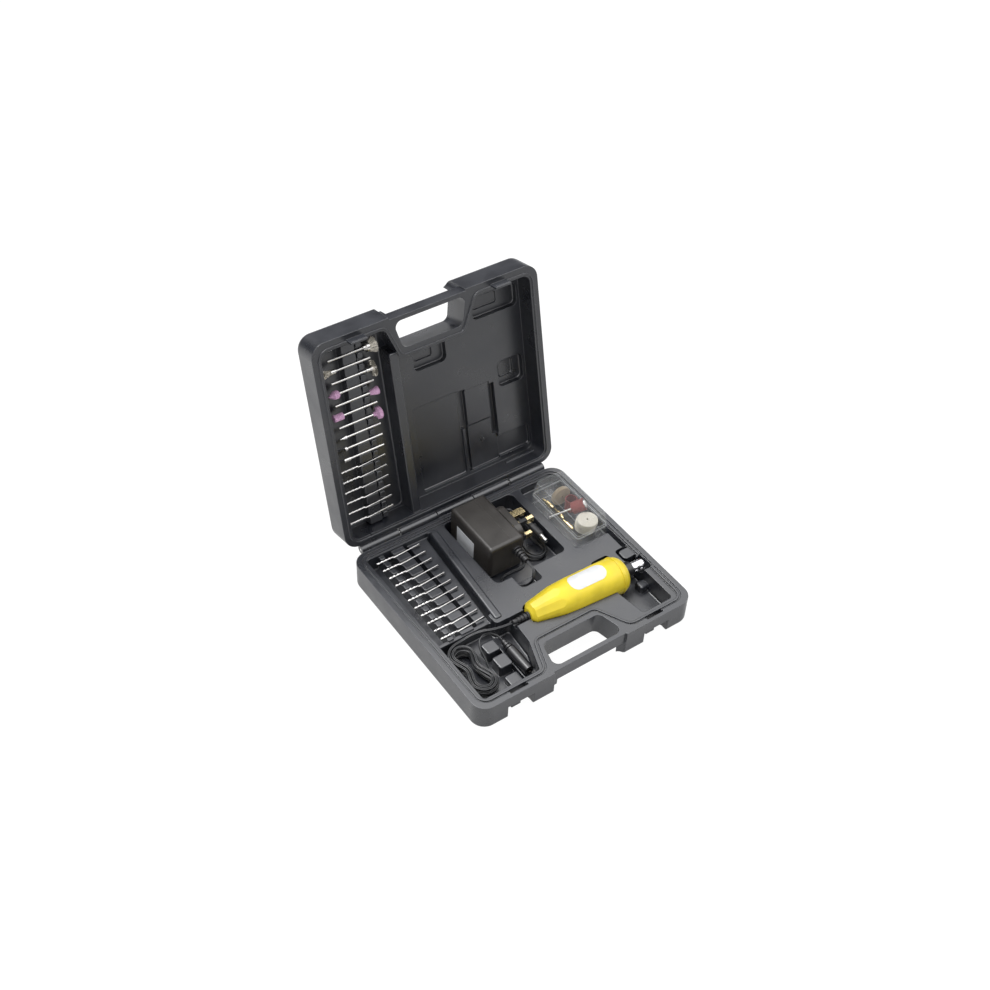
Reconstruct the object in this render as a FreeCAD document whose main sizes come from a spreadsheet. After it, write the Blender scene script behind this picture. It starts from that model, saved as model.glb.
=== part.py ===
import FreeCAD, Part
import math
import os
import re
import types
import Sketcher
from FreeCAD import Placement, Rotation, Vector

# Mini rotary tool kit: a hinged moulded case that holds a low-voltage rotary tool with its
# lead, a plug-in power adapter with its lead, a clear accessory box and two racks of bits.
# X runs along the hinge, -Y is the handle side and +Y the hinge side, and Z is up.
# The origin is the middle of the case's underside, and all sizes are in millimetres.
# The tool is drawn along its own X from the tail's face, and the lid's pieces as if it
# were shut; their Placements then lay the tool in its bed and open the lid.

SIZES = {
    # Case, outside
    "case_width": 255.0, "case_depth": 228.0, "base_height": 29.0, "lid_height": 32.0,
    "case_corner": 15.0, "base_edge": 3.0, "lid_edge": 6.0, "seam_gap": 0.3,
    # Hinge
    "hinge_behind": 5.0, "lid_open": 103.0, "knuckle_radius": 4.6, "knuckle_bore": 1.55,
    "hinge_pin_radius": 1.5, "hinge_pin_length": 226.0, "knuckle_length": 44.0,
    "knuckle_pitch": 45.0,
    # Rim: a bead round the inside with a groove outside it, stepped round the handle
    "rim_side": 118.2, "rim_front": 104.0, "rim_back": 106.4, "rim_corner": 9.0,
    "notch_back": 68.7, "notch_back_left": 36.3, "notch_back_right": 37.0,
    "notch_front_left": 49.0, "notch_front_right": 55.0, "bead_width": 2.0,
    "groove_width": 1.8, "groove_depth": 1.5, "tongue_width": 1.2, "tongue_height": 1.1,
    "deck_drop": 2.0,
    # Carrying handle
    "bar_half": 43.0, "bar_front": 112.0, "bar_height": 14.0, "hole_front": 107.5,
    "hole_back": 78.3, "hole_middle": 2.0, "hole_back_half": 34.0, "hole_front_half": 41.0,
    "hole_corner": 7.0, "hole_flare_base": 4.0, "hole_flare_lid": 6.0, "hole_flare_side": 1.0,
    # Snap catches moulded into the front edges
    "bay_inner": 66.0, "bay_outer": 96.0, "bay_back": 106.5, "bay_roof": 16.0,
    "scallop_radius": 5.0, "catch_half": 9.0, "catch_thick": 2.0, "catch_drop": 9.5,
    "catch_front": 108.6, "catch_nub": 0.8, "slot_front": 110.1, "slot_back": 105.8,
    # Rack in the base
    "rack_left": 115.0, "rack_front": 20.5, "rack_back": 104.6, "rack_floor": 9.0,
    "shelf_left": 66.0, "shelf_floor": 20.5, "rib_front": 29.0, "base_bit_first": -17.4,
    "base_bit_pitch": 11.53, "base_bit_count": 11.0, "base_bit_height": 23.0,
    "base_bit_left": -107.5,
    "base_pad_x": -79.0, "pad_length": 14.5, "pad_gap": 2.75, "base_pad_top": 23.7,
    "saddle_gap": 0.1, "peg_length": 6.0, "base_peg_x": -98.0, "base_peg_top": 23.7,
    # Lead pocket in the base, with three raised pads and the socket's ledge
    "lead_left": 115.0, "lead_right": 37.0, "lead_front": 101.0, "lead_back": 24.0,
    "lead_floor": 5.0, "divider_height": 19.5, "lead_pad_left": 77.4, "lead_pad_size": 15.0,
    "lead_pad_top": 18.6, "ledge_left": 61.6, "ledge_right": 47.0, "ledge_top": 12.2,
    # Other hollows in the base
    "power_left": 24.0, "power_right": 62.0, "power_front": 8.0, "power_back": 105.3,
    "power_floor": 6.5, "finger_left": 6.0, "finger_right": 20.0, "finger_half": 10.0,
    "finger_floor": 12.0, "tray_left": 72.0, "tray_right": 117.2, "tray_front": 4.0,
    "tray_back": 105.0, "tray_floor": 17.0, "tray_side_left": 112.0, "tray_side_front": 20.5,
    "nose_left": 74.5, "nose_right": 111.2, "nose_front": 100.0, "nose_back": 41.0,
    "nose_floor": 5.0, "reach_left": 70.0, "reach_right": 93.0, "reach_front": 46.0,
    "reach_back": 19.6, "reach_floor": 11.0, "moat_left": 101.4, "moat_front": 38.5,
    "moat_back": 20.0, "moat_floor": 14.0, "block_left": 104.0, "block_front": 34.8,
    "block_back": 22.4, "bump_left": 101.5, "bump_size": 11.0, "bump_front": 66.0,
    "bump_top": 13.5, "bed_gap": 0.4, "nose_bed_gap": 1.3, "neck_bed_radius": 9.2,
    # Hollows in the lid
    "panel_roof": 51.5, "lid_rack_left": 116.4, "lid_rack_right": 47.0, "lid_rack_front": 103.6,
    "lid_rack_back": 104.0, "lid_rack_roof": 52.0, "lid_rib_width": 10.0, "lid_rib_tip": 31.4,
    "lid_power_left": 20.0, "lid_power_right": 34.0, "lid_power_front": 4.0,
    "lid_recess_back": 102.5, "lid_power_roof": 54.5, "lid_groove_roof": 57.5,
    "lid_step_left": 42.0, "lid_step_right": 71.0, "lid_step_front": 7.0,
    "lid_step_roof": 52.6, "lid_split": 49.0, "lid_split_width": 1.6,
    "lid_split_roof": 55.5, "lid_block_left": 77.3, "lid_block_front": 75.0,
    "lid_block_right": 115.0, "lid_ledge_left": 78.0, "lid_ledge_right": 114.0,
    "lid_ledge_low": 43.8, "lid_ledge_thick": 1.6,
    # Bits in the lid
    "lid_bit_first": -99.3, "lid_bit_pitch": 12.1, "lid_bit_count": 17.0,
    "lid_bit_height": 42.0, "lid_bit_left": -113.5, "lid_bit_right": -62.5,
    "lid_pad_x": -84.0, "lid_pad_tip": 41.3, "lid_peg_x": -72.5, "lid_peg_tip": 41.3,
    "shank_radius": 1.175, "bit_length": 51.0, "headed_shank": 38.0, "flute_length": 18.0,
    "flute_radius": 0.9, "drill_tip": 1.5,
    # Tool, along its own axis from the tail
    "tool_x": -20.8, "tool_y": -40.88, "tool_height": 26.0, "tool_yaw": -2.8,
    "tail_face_radius": 7.2, "tail_chamfer": 3.5, "tail_radius": 12.2, "shoulder_at": 31.0,
    "shoulder_radius": 17.8, "waist_at": 49.4, "waist_radius": 18.9, "bulge_at": 87.4,
    "bulge_radius": 19.5, "housing_end": 101.4, "housing_front_radius": 19.3,
    "facet_sides": 8.0, "facet_start": 11.0, "facet_end_radius": 18.7, "facet_end": 38.0,
    "inner_start": 3.2, "inner_tail_radius": 8.8, "inner_shoulder_radius": 15.4,
    "inner_waist_radius": 16.6, "inner_bulge_radius": 17.2, "inner_front_radius": 17.0,
    "lead_hole_radius": 3.0, "rib_thick": 2.0, "rear_rib_at": 53.4, "front_rib_at": 82.4,
    "nose_radius": 18.7, "nose_end": 112.9, "nose_round": 9.5, "nose_bore": 8.1,
    "nose_lip": 109.0, "lip_radius": 19.9, "lip_end": 102.8,
    # Motor
    "cap_start": 46.4, "can_start": 50.4, "can_end": 87.4, "can_radius": 13.85,
    "can_inner_radius": 12.9, "can_inner_end": 86.4, "shaft_radius": 1.15,
    "shaft_start": 46.9, "shaft_end": 97.4, "bush_radius": 3.0, "bush_bore": 1.18,
    "bush_length": 3.0, "rear_bush_at": 47.4, "front_bush_at": 85.4, "cap_bore": 3.0,
    "magnet_radius": 11.9, "magnet_start": 57.4, "magnet_length": 24.0, "magnet_gap": 5.0,
    "core_radius": 11.5, "core_start": 59.4, "core_length": 18.0, "slot_width": 3.0,
    "slot_depth": 6.5, "winding_radius": 8.6, "winding_overhang": 2.4,
    "commutator_radius": 3.4, "commutator_start": 51.8, "commutator_length": 4.6,
    "brush_gap": 0.03, "brush_length": 5.0, "brush_width": 2.4,
    # Spindle, chuck and nut
    "stem_radius": 3.0, "stem_start": 92.9, "collar_start": 113.5, "collar_end": 122.4,
    "collar_radius": 7.4, "collar_chamfer": 0.9, "thread_radius": 3.9, "thread_end": 133.0,
    "seat_start": 121.3, "seat_radius": 2.75, "collet_start": 121.5, "collet_taper": 131.1,
    "collet_end": 134.5, "collet_radius": 2.72, "collet_tip_radius": 1.9,
    "collet_bore": 1.2, "collet_slit": 0.5, "collet_slit_start": 123.5, "nut_start": 122.8,
    "nut_end": 137.0, "nut_radius": 5.3, "nut_chamfer_at": 135.4, "nut_front_radius": 4.3,
    "nut_bore": 3.95, "nut_bore_end": 133.4, "nut_throat": 3.1, "nut_mouth": 2.0,
    "nut_slot": 1.5, "nut_slot_depth": 0.8, "nut_slot_length": 2.8, "nut_slots": 8.0,
    "nut_slot_first": 1.8, "nut_slot_second": 8.0, "bearing_start": 102.5,
    "bearing_length": 6.4, "bearing_radius": 9.5, "bearing_bore": 3.04, "race_thick": 1.6,
    "ball_radius": 1.55, "ball_count": 8.0,
    # Tool trim
    "label_middle": 67.0, "label_length": 41.5, "label_width": 19.0, "label_thick": 0.3,
    "switch_at": 38.4, "switch_length": 14.4, "switch_width": 8.0, "switch_low": 14.8,
    "switch_height": 5.5, "slider_at": 36.4, "slider_length": 9.0, "slider_width": 5.0,
    "slider_low": 19.5, "slider_gap": 0.3, "switch_travel": 4.0,
    "rear_screw_at": 23.0, "rear_screw_y": 7.5, "front_screw_at": 93.4,
    "front_screw_y": 11.5, "screw_radius": 1.2, "screw_head_radius": 2.4,
    "screw_head_height": 1.8, "screw_tip": 6.0, "screw_play": 0.15, "rear_screw_seat": 10.8,
    "front_screw_seat": 12.0, "boss_radius": 3.0,
    "relief_anchor": 2.0, "anchor_radius": 4.4, "tool_relief_length": 18.0,
    "tool_relief_big": 4.3, "tool_relief_small": 2.7, "tool_relief_ribs": 5.0,
    # Cords
    "cord_radius": 1.4, "hank_pitch": 3.9,
    "lead_hank_x": -97.5, "lead_hank_y": -59.0, "lead_hank_low": 7.0, "lead_hank_lobe": 14.5,
    "lead_hank_reach": 17.5, "lead_hank_waist": 8.0, "lead_hank_turns": 7.0,
    "lead_hank_layers": 4.0, "power_hank_x": 45.0, "power_hank_y": 61.5,
    "power_hank_low": 8.5, "power_hank_lobe": 14.6, "power_hank_reach": 24.0,
    "power_hank_waist": 12.6, "power_hank_turns": 3.0, "power_hank_layers": 2.0,
    # Power adapter
    "adapter_left": -16.0, "adapter_front": 31.5, "adapter_floor": 6.8,
    "adapter_width": 27.5, "adapter_length": 72.7, "adapter_height": 41.2,
    "adapter_round": 4.0, "adapter_wall": 2.2, "cover_width": 14.0, "boss_depth": 6.8,
    "boss_front": 40.0, "boss_length": 44.0, "boss_low": 15.5, "boss_height": 32.0,
    "boss_round": 9.0, "pin_height": 33.0, "line_pin_y": 50.5, "pin_spread": 22.2,
    "line_pin_length": 17.7, "line_pin_width": 6.3, "pin_thick": 4.0, "pin_inside": 2.0,
    "sleeve_length": 9.0, "sleeve_wall": 0.45, "earth_pin_length": 22.7,
    "earth_pin_width": 8.0, "core_x": -8.0, "core_y": 37.0, "core_width": 22.0,
    "core_span": 41.0, "core_height": 34.0, "window_height": 7.5,
    "window_span": 20.0, "leg_height": 13.0, "winding_swell": 4.5, "board_x": -11.0,
    "board_y": 82.0, "board_low": 11.0, "board_thick": 1.6, "board_width": 30.0,
    "board_height": 30.0, "adapter_relief_x": 16.0,
    "adapter_relief_height": 33.0, "adapter_relief_length": 18.0, "adapter_relief_big": 5.4,
    "adapter_relief_small": 3.0, "adapter_relief_ribs": 5.0, "plate_length": 30.0,
    "plate_height": 21.5, "plate_thick": 0.25, "plate_front": 60.0, "plate_low": 12.5,
    # Barrel plug
    "barrel_x": 56.5, "barrel_height": 20.0, "barrel_tip": 34.0, "barrel_contact_radius": 2.75,
    "barrel_contact_bore": 1.05, "barrel_contact_length": 9.5, "barrel_body_radius": 4.6,
    "barrel_body_length": 16.0, "barrel_tail_radius": 3.2, "barrel_tail_length": 9.0,
    # In-line socket
    "socket_x": -55.8, "socket_back": -48.0, "socket_height": 18.0,
    "socket_relief_length": 15.0, "socket_relief_big": 5.2, "socket_relief_small": 3.0,
    "socket_relief_ribs": 4.0, "socket_radius": 5.4, "socket_length": 28.0,
    "socket_bore": 2.85, "socket_depth": 11.0, "socket_pin_radius": 0.95,
    "socket_pin_length": 9.0,
    # Clear box and what is in it
    "box_left": 76.4, "box_front": 8.5, "box_floor": 17.3, "box_width": 39.6,
    "box_length": 80.0, "box_seam": 32.0, "box_collar": 35.0, "box_top": 50.8,
    "box_draft": 2.3, "box_top_round": 1.5, "tray_wall": 1.8, "box_lip": 2.6,
    "lip_inset": 1.25, "box_lid_wall": 1.0, "box_corner": 4.0, "rest_gap": 0.1,
    "spare_radius": 2.4, "spare_length": 13.0, "spare_stem": 1.2, "spare_point": 3.0,
    "drum_radius": 6.5, "drum_bore": 5.7, "drum_length": 14.0, "mandrel_shank": 27.0,
    "mandrel_head": 4.3, "mandrel_head_thick": 1.2, "wheel_radius": 11.0,
    "wheel_thick": 5.0, "wheel_bore": 1.2, "wheel_pitch": 5.2,
}

document = FreeCAD.newDocument("rotary_tool_kit")
sheet = document.addObject("Spreadsheet::Sheet", "Sizes")
for row, (name, value) in enumerate(SIZES.items(), start=1):
    sheet.set(f"A{row}", name)
    sheet.set(f"B{row}", str(value))
    sheet.setAlias(f"B{row}", name)
document.recompute()
size = types.SimpleNamespace(**{name: float(sheet.get(name)) for name in SIZES})

SUB_PARTS = []
X_AXIS = Vector(1, 0, 0)
Y_AXIS = Vector(0, 1, 0)
Z_AXIS = Vector(0, 0, 1)
BEYOND = 3.0


def formula(text):
    """A formula of cell names, as the document writes it."""
    return re.sub(
        "[a-z_]+", lambda word: "Sizes." + word[0] if word[0] in SIZES else word[0], text
    )


def bind(thing, **formulas):
    """Binds properties to formulas of the sheet's cells; two underscores stand for a dot."""
    for path, text in formulas.items():
        thing.setExpression(path.replace("__", "."), formula(text))


def keep(thing, label, where=None):
    """Names a finished sub-part and gives it its place."""
    thing.Label = label
    if where is not None:
        thing.Placement = where
    SUB_PARTS.append(thing)
    return thing


def tool_place():
    """The tool's own frame: its tail's face, a little turned in its bed."""
    tail = Vector(size.tool_x, size.tool_y, size.tool_height)
    return Placement(tail, Rotation(Z_AXIS, size.tool_yaw))


def lid_place():
    """Turns a piece drawn on the shut lid to the open lid."""
    hinge = Vector(0, size.case_depth / 2 + size.hinge_behind, size.base_height)
    return Placement(Vector(), Rotation(X_AXIS, -size.lid_open), hinge)


def lay(x, y, z, direction=X_AXIS):
    """The place of a piece drawn along X from the origin: where it starts and how it lies."""
    return Placement(Vector(x, y, z), Rotation(X_AXIS, direction))


def origin_plane(body, role):
    """One of a body's own origin planes."""
    return next(plane for plane in body.Origin.OriginFeatures if plane.Role == role)


def turned(name, points):
    """A body of revolution about X: each corner is a pair of cells, along X and radius.

    An empty cell name is the origin along X, or the axis itself as a radius.
    """
    body = document.addObject("PartDesign::Body", name)
    sketch = body.newObject("Sketcher::SketchObject", name + "_profile")
    sketch.AttachmentSupport = [(origin_plane(body, "XZ_Plane"), "")]
    sketch.MapMode = "FlatFace"
    places = [Vector(SIZES.get(x, 0.0), SIZES.get(y, 0.0), 0.0) for x, y in points]
    count = len(points)
    for index, place in enumerate(places):
        sketch.addGeometry(Part.LineSegment(place, places[(index + 1) % count]), False)
    for index in range(count):
        following = (index + 1) % count
        sketch.addConstraint(Sketcher.Constraint("Coincident", index, 2, following, 1))
    for index, pair in enumerate(points):
        for cell, kind, axis in zip(pair, ("DistanceX", "DistanceY"), (-2, -1)):
            if cell:
                distance = Sketcher.Constraint(kind, -1, 1, index, 1, SIZES[cell])
                number = sketch.addConstraint(distance)
                sketch.setExpression(f"Constraints[{number}]", "Sizes." + cell)
            else:
                sketch.addConstraint(Sketcher.Constraint("PointOnObject", index, 1, axis))
    turn = body.newObject("PartDesign::Revolution", name + "_turn")
    turn.Profile = sketch
    turn.ReferenceAxis = (sketch, ["H_Axis"])
    turn.Angle = 360.0
    body.Tip = turn
    return body


def box(name, corner, extent):
    """A block: its low corner and its extent, each three formulas of cells."""
    block = document.addObject("Part::Box", name)
    bind(block, Length=extent[0], Width=extent[1], Height=extent[2])
    bind(block, Placement__Base__x=corner[0], Placement__Base__y=corner[1])
    bind(block, Placement__Base__z=corner[2])
    return block


def rod(name, start, radius, length, direction=Z_AXIS):
    """A cylinder from a start point, its numbers formulas of cells."""
    piece = document.addObject("Part::Cylinder", name)
    piece.Placement = Placement(Vector(), Rotation(Z_AXIS, direction))
    bind(piece, Radius=radius, Height=length)
    bind(piece, Placement__Base__x=start[0], Placement__Base__y=start[1])
    bind(piece, Placement__Base__z=start[2])
    return piece


def cut(name, base, tool):
    """One object less another."""
    result = document.addObject("Part::Cut", name)
    result.Base = base
    result.Tool = tool
    return result


def joined(name, pieces):
    """Several objects as one solid."""
    result = document.addObject("Part::MultiFuse", name)
    result.Shapes = pieces
    result.Refine = True
    return result


def shared(name, pieces):
    """What several objects have in common."""
    result = document.addObject("Part::MultiCommon", name)
    result.Shapes = pieces
    return result


def group(name, pieces):
    """Several separate solids under one name."""
    result = document.addObject("Part::Compound", name)
    result.Links = pieces
    return result


def feature(name, shape):
    """An object whose shape is worked out with the kernel's own functions."""
    result = document.addObject("Part::Feature", name)
    result.Shape = shape
    return result


def runs_along(edge, direction):
    """Whether an edge is straight and lies along a direction."""
    run = edge.Vertexes[-1].Point - edge.Vertexes[0].Point
    return run.Length > 1e-6 and abs(run.normalize().dot(direction)) > 0.999


def level(edge, height):
    """Whether an edge lies flat at a height."""
    bounds = edge.BoundBox
    return abs(bounds.ZMin - height) < 1e-5 and abs(bounds.ZMax - height) < 1e-5


def smoothed(name, piece, radius, chosen):
    """A piece with the edges that a test picks rounded."""
    document.recompute()
    result = document.addObject("Part::Fillet", name)
    result.Base = piece
    result.Edges = [
        (number, radius, radius)
        for number, edge in enumerate(piece.Shape.Edges, start=1) if chosen(edge)
    ]
    return result


def outline(points, radius, height=0.0):
    """A closed flat wire through points, its corners rounded by tangent arcs."""
    corners = [Vector(x, y, height) for x, y in points]
    arcs = []
    for index, corner in enumerate(corners):
        back = (corners[index - 1] - corner).normalize()
        ahead = (corners[(index + 1) % len(corners)] - corner).normalize()
        half = (math.pi - back.getAngle(ahead)) / 2
        reach = radius * math.tan(half)
        middle = corner + (back + ahead).normalize() * (radius / math.cos(half) - radius)
        arcs.append((corner + back * reach, middle, corner + ahead * reach))
    edges = []
    for index, (start, middle, end) in enumerate(arcs):
        edges.append(Part.Arc(start, middle, end).toShape())
        edges.append(Part.LineSegment(end, arcs[(index + 1) % len(arcs)][0]).toShape())
    return Part.Wire(edges)


def prism(points, radius, low, high):
    """An upright prism between two heights over a rounded outline."""
    return Part.Face(outline(points, radius, low)).extrude(Vector(0, 0, high - low))


def hollow(points, radius, floor, mouth, easing=1.5):
    """What a moulded hollow takes away: round corners, an eased floor, an open mouth."""
    beyond = mouth + math.copysign(BEYOND, mouth - floor)
    body = prism(points, radius, min(floor, beyond), max(floor, beyond))
    return body.makeFillet(easing, [edge for edge in body.Edges if level(edge, floor)])


def pad(points, radius, root, tip, easing=1.0):
    """A raised moulded pad with an eased tip."""
    body = prism(points, radius, min(root, tip), max(root, tip))
    return body.makeFillet(easing, [edge for edge in body.Edges if level(edge, tip)])


def oblong(left, right, front, back):
    """The corners of a rectangle, from its four sides."""
    return [(left, front), (right, front), (right, back), (left, back)]


def spun(points):
    """A solid of revolution about X over (along, radius) pairs that close on the axis."""
    corners = [Vector(along, 0, radius) for along, radius in points]
    face = Part.Face(Part.makePolygon(corners + corners[:1]))
    return face.revolve(Vector(), X_AXIS, 360)


def ribbed(length, big, small, ribs, wall_end=0.0, anchor=0.0):
    """A strain relief along X: rings that shrink along it, with necks between them.

    It starts at 0, and wall_end and anchor add a spigot and a disc behind the start.
    """
    points = [(0, 0)]
    if anchor:
        points = [(-wall_end - anchor, 0), (-wall_end - anchor, size.anchor_radius),
                  (-wall_end, size.anchor_radius), (-wall_end, size.lead_hole_radius),
                  (0, size.lead_hole_radius)]
    step = length / ribs
    for number in range(int(ribs)):
        start = number * step
        radius = big + (small - big) * number / (ribs - 1)
        neck = small * 0.85
        points += [(start, radius), (start + step * 0.62, radius)]
        if number < ribs - 1:
            points += [(start + step * 0.62, neck), (start + step, neck)]
        else:
            points += [(start + step, radius * 0.9), (start + step, 0)]
    return spun(points)


def biarc(start, heading, end, leaving):
    """Two tangent arcs from one point and heading to another, as edges."""
    across = end - start
    both = heading + leaving
    gap = 2 * (1 - heading.dot(leaving))
    if gap < 1e-9:
        reach = across.dot(across) / (4 * across.dot(leaving))
    else:
        slant = across.dot(both)
        reach = (math.sqrt(slant * slant + gap * across.dot(across)) - slant) / gap
    middle = (start + heading * reach + end - leaving * reach) * 0.5
    return [arc_from(start, heading, middle), arc_from(end, leaving * -1, middle, True)]


def arc_from(start, heading, end, backwards=False):
    """The arc that leaves a point along a heading and reaches another point."""
    chord = end - start
    side = chord - heading * chord.dot(heading)
    if side.Length < 1e-7:
        return Part.LineSegment(*((end, start) if backwards else (start, end))).toShape()
    side.normalize()
    radius = chord.dot(chord) / (2 * side.dot(chord))
    centre = start + side * radius
    half_way = centre + ((start + end) * 0.5 - centre).normalize() * abs(radius)
    if backwards:
        return Part.Arc(end, half_way, start).toShape()
    return Part.Arc(start, half_way, end).toShape()


def tube(path, radius):
    """A round tube along a wire."""
    first = path.OrderedEdges[0]
    start, heading = first.valueAt(first.FirstParameter), first.tangentAt(first.FirstParameter)
    ring = Part.Circle(start, heading, radius)
    shell = Part.BRepOffsetAPI.MakePipeShell(path)
    shell.add(Part.Wire(ring.toShape()))
    shell.build()
    shell.makeSolid()
    return shell.shape()


def routed(name, points):
    """A cord's free stretch: straight runs with arcs as large as the runs allow."""
    corners = [Vector(*point) for point in points]
    edges, radii = [], []
    end = corners[0]
    for before, corner, after in zip(corners, corners[1:], corners[2:]):
        back, ahead = before - corner, after - corner
        half = (math.pi - back.getAngle(ahead)) / 2
        reach = 0.45 * min(back.Length, ahead.Length)
        radius = reach / math.tan(half)
        back, ahead = back.normalize(), ahead.normalize()
        middle = corner + (back + ahead).normalize() * (radius / math.cos(half) - radius)
        start = corner + back * reach
        edges.append(Part.LineSegment(end, start).toShape())
        edges.append(Part.Arc(start, middle, corner + ahead * reach).toShape())
        end = corner + ahead * reach
        radii.append(round(radius, 1))
    edges.append(Part.LineSegment(end, corners[-1]).toShape())
    path = Part.Wire(edges)
    shape = tube(path, size.cord_radius)
    share = shape.Volume / (math.pi * size.cord_radius ** 2 * path.Length)
    print(f"{name}: length {path.Length:.0f}, radii {radii}, volume share {share:.4f}")
    return keep(feature(name, shape), name)


def hank_point(shape, along, inset):
    """A point of a hank's loop seen from above, clockwise from its front lobe's right side.

    shape is (lobe radius, lobe's distance from the middle, half the waist). along is a
    share of a turn, and inset moves the loop inward.
    """
    lobe, reach, waist = shape
    side = (waist ** 2 + reach ** 2 - lobe ** 2) / (2 * (lobe - waist))
    slant = math.atan2(reach, waist + side)
    stretches = [
        (0, -reach, lobe - inset, 0.0, -math.pi - slant, lobe),
        (-waist - side, 0, side + inset, -slant, slant, side),
        (0, reach, lobe - inset, math.pi + slant, -slant, lobe),
        (waist + side, 0, side + inset, math.pi - slant, math.pi + slant, side),
        (0, -reach, lobe - inset, slant, 0.0, lobe),
    ]
    lengths = [abs(end - start) * plain for *_, start, end, plain in stretches]
    left = (along % 1.0) * sum(lengths)
    for (x, y, radius, start, end, _), length in zip(stretches, lengths):
        if left <= length:
            angle = start + (end - start) * left / length
            return Vector(x + radius * math.cos(angle), y + radius * math.sin(angle), 0)
        left -= length
    return Vector(lobe - inset, -reach, 0)


def wound(name, middle, low, shape, layers, first, last):
    """A hank of cord: loops that spiral in and out, layer on layer, as one tube.

    first and last are where it starts and ends, in turns.
    """
    climb = 0.5
    spiral = (last - first - climb * (layers - 1)) / layers
    deepest = size.hank_pitch * spiral
    spans = round((last - first) * 16)

    def place(turn, steady=None):
        gone = turn - first
        layer = min(int(gone // (spiral + climb)), int(layers) - 1)
        part = gone - layer * (spiral + climb)
        share = min(part / spiral, 1.0)
        rise = max(part - spiral, 0.0) / climb
        inset = deepest * (1 - share if layer % 2 else share)
        height = low + size.hank_pitch * (layer + rise * rise * (3 - 2 * rise))
        if steady is not None:
            inset, height = steady
        point = hank_point(shape, turn, inset)
        return Vector(middle[0] + point.x, middle[1] + point.y, height), (inset, height)

    places, headings = [], []
    for number in range(spans + 1):
        turn = first + (last - first) * number / spans
        point, state = place(turn)
        steady = state if number in (0, spans) else None
        step = place(turn + 1e-3, steady)[0] - place(turn - 1e-3, steady)[0]
        places.append(point)
        headings.append(step.normalize())
    edges = []
    for number in range(spans):
        edges += biarc(places[number], headings[number],
                       places[number + 1], headings[number + 1])
    path = Part.Wire(edges)
    solid = tube(path, size.cord_radius)
    gap, radius = least_gap(path), min(edge.Curve.Radius for edge in edges)
    share = solid.Volume / (math.pi * size.cord_radius ** 2 * path.Length)
    print(f"{name}: length {path.Length:.0f}, gap {gap:.2f}, least radius {radius:.1f},"
          f" volume share {share:.4f}, from {places[0]} to {places[-1]}")
    return keep(feature(name, solid), name)


def least_gap(path):
    """The least gap between a wound tube's turns, measured on points along it."""
    count = int(path.Length)
    points = path.discretize(Number=count)
    apart = int(6 * size.cord_radius * count / path.Length) + 1
    nearest = min(
        points[one].distanceToPoint(points[other])
        for one in range(count) for other in range(one + apart, count)
    )
    return nearest - 2 * size.cord_radius


# Case: what both halves share


def rim_face(grow=0.0):
    """The rim's outline, stepped round the handle, grown out from the bead's inner edge."""
    face = Part.Face(outline([
        (-size.rim_side, -size.rim_front), (-size.notch_front_left, -size.rim_front),
        (-size.notch_back_left, -size.notch_back), (size.notch_back_right, -size.notch_back),
        (size.notch_front_right, -size.rim_front), (size.rim_side, -size.rim_front),
        (size.rim_side, size.rim_back), (-size.rim_side, size.rim_back)], size.rim_corner))
    return face.makeOffset2D(grow) if grow else face


def rim_ring(inner, outer, low, high):
    """A ring that follows the rim, between two distances and two heights."""
    ring = rim_face(outer).cut(rim_face(inner))
    ring.translate(Vector(0, 0, low))
    return ring.extrude(Vector(0, 0, high - low))


def handle_hole(outside, flare):
    """The hole behind the handle's bar through one half, wider at its outside face."""
    parting = size.base_height
    beyond = math.copysign(BEYOND, outside - parting)
    wires = []
    for height in sorted((parting - beyond, outside + beyond)):
        share = (height - parting) / (outside - parting)
        side = size.hole_flare_side * share
        front, back = size.hole_front_half + side, size.hole_back_half + side
        deep = size.hole_back - flare * share
        points = [(size.hole_middle - front, -size.hole_front),
                  (size.hole_middle + front, -size.hole_front),
                  (size.hole_middle + back, -deep), (size.hole_middle - back, -deep)]
        wires.append(outline(points, size.hole_corner, height))
    return Part.makeLoft(wires, True, True)


def block(left, right, front, back, low, high):
    """A plain block, from its six sides."""
    return Part.makeBox(right - left, back - front, high - low, Vector(left, front, low))


def bar_clearance(low, high):
    """The room in front of the handle's bar and beside it, between two heights."""
    front = -size.case_depth / 2 - BEYOND
    before = block(-size.bar_half, size.bar_half, front, -size.bar_front, -BEYOND, 99)
    beside = prism(oblong(-size.bar_half, size.bar_half, front - 20, -size.hole_front + 0.5),
                   8.0, low, high)
    return [before, beside]


def knuckles(middles, toward):
    """Hinge knuckles on arms, below the hinge's line or above it."""
    hinge_y = size.case_depth / 2 + size.hinge_behind
    half = size.knuckle_length / 2
    radius = size.knuckle_radius
    pieces = []
    for x in middles:
        start = Vector(x - half, hinge_y, size.base_height)
        barrel = Part.makeCylinder(radius, size.knuckle_length, start, X_AXIS)
        low, high = sorted((size.base_height + toward * radius,
                            size.base_height + (size.seam_gap if toward > 0 else 0)))
        arm = block(x - half, x + half, hinge_y - size.hinge_behind - 2, hinge_y, low, high)
        bore = Part.makeCylinder(size.knuckle_bore, size.knuckle_length, start, X_AXIS)
        pieces.append(barrel.fuse(arm).cut(bore))
    return pieces


def rack(bars, pitch, first, count, root, seat):
    """Rows of raised pads with saddles between them, where the bits' shanks lie.

    bars holds each row's middle, length, tip and how much shorter its pads are.
    """
    pieces = []
    for middle, length, tip, shorter, start, end in bars:
        half = length / 2
        pieces.append(block(middle - half, middle + half, start, end, *sorted((root, seat))))
        for number in range(1, int(count)):
            y = first + (number - 0.5) * pitch
            reach = (pitch - size.pad_gap) / 2 - shorter
            corners = oblong(middle - half, middle + half, y - reach, y + reach)
            pieces.append(pad(corners, 2.0, root, tip, 0.9))
    return pieces


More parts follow.
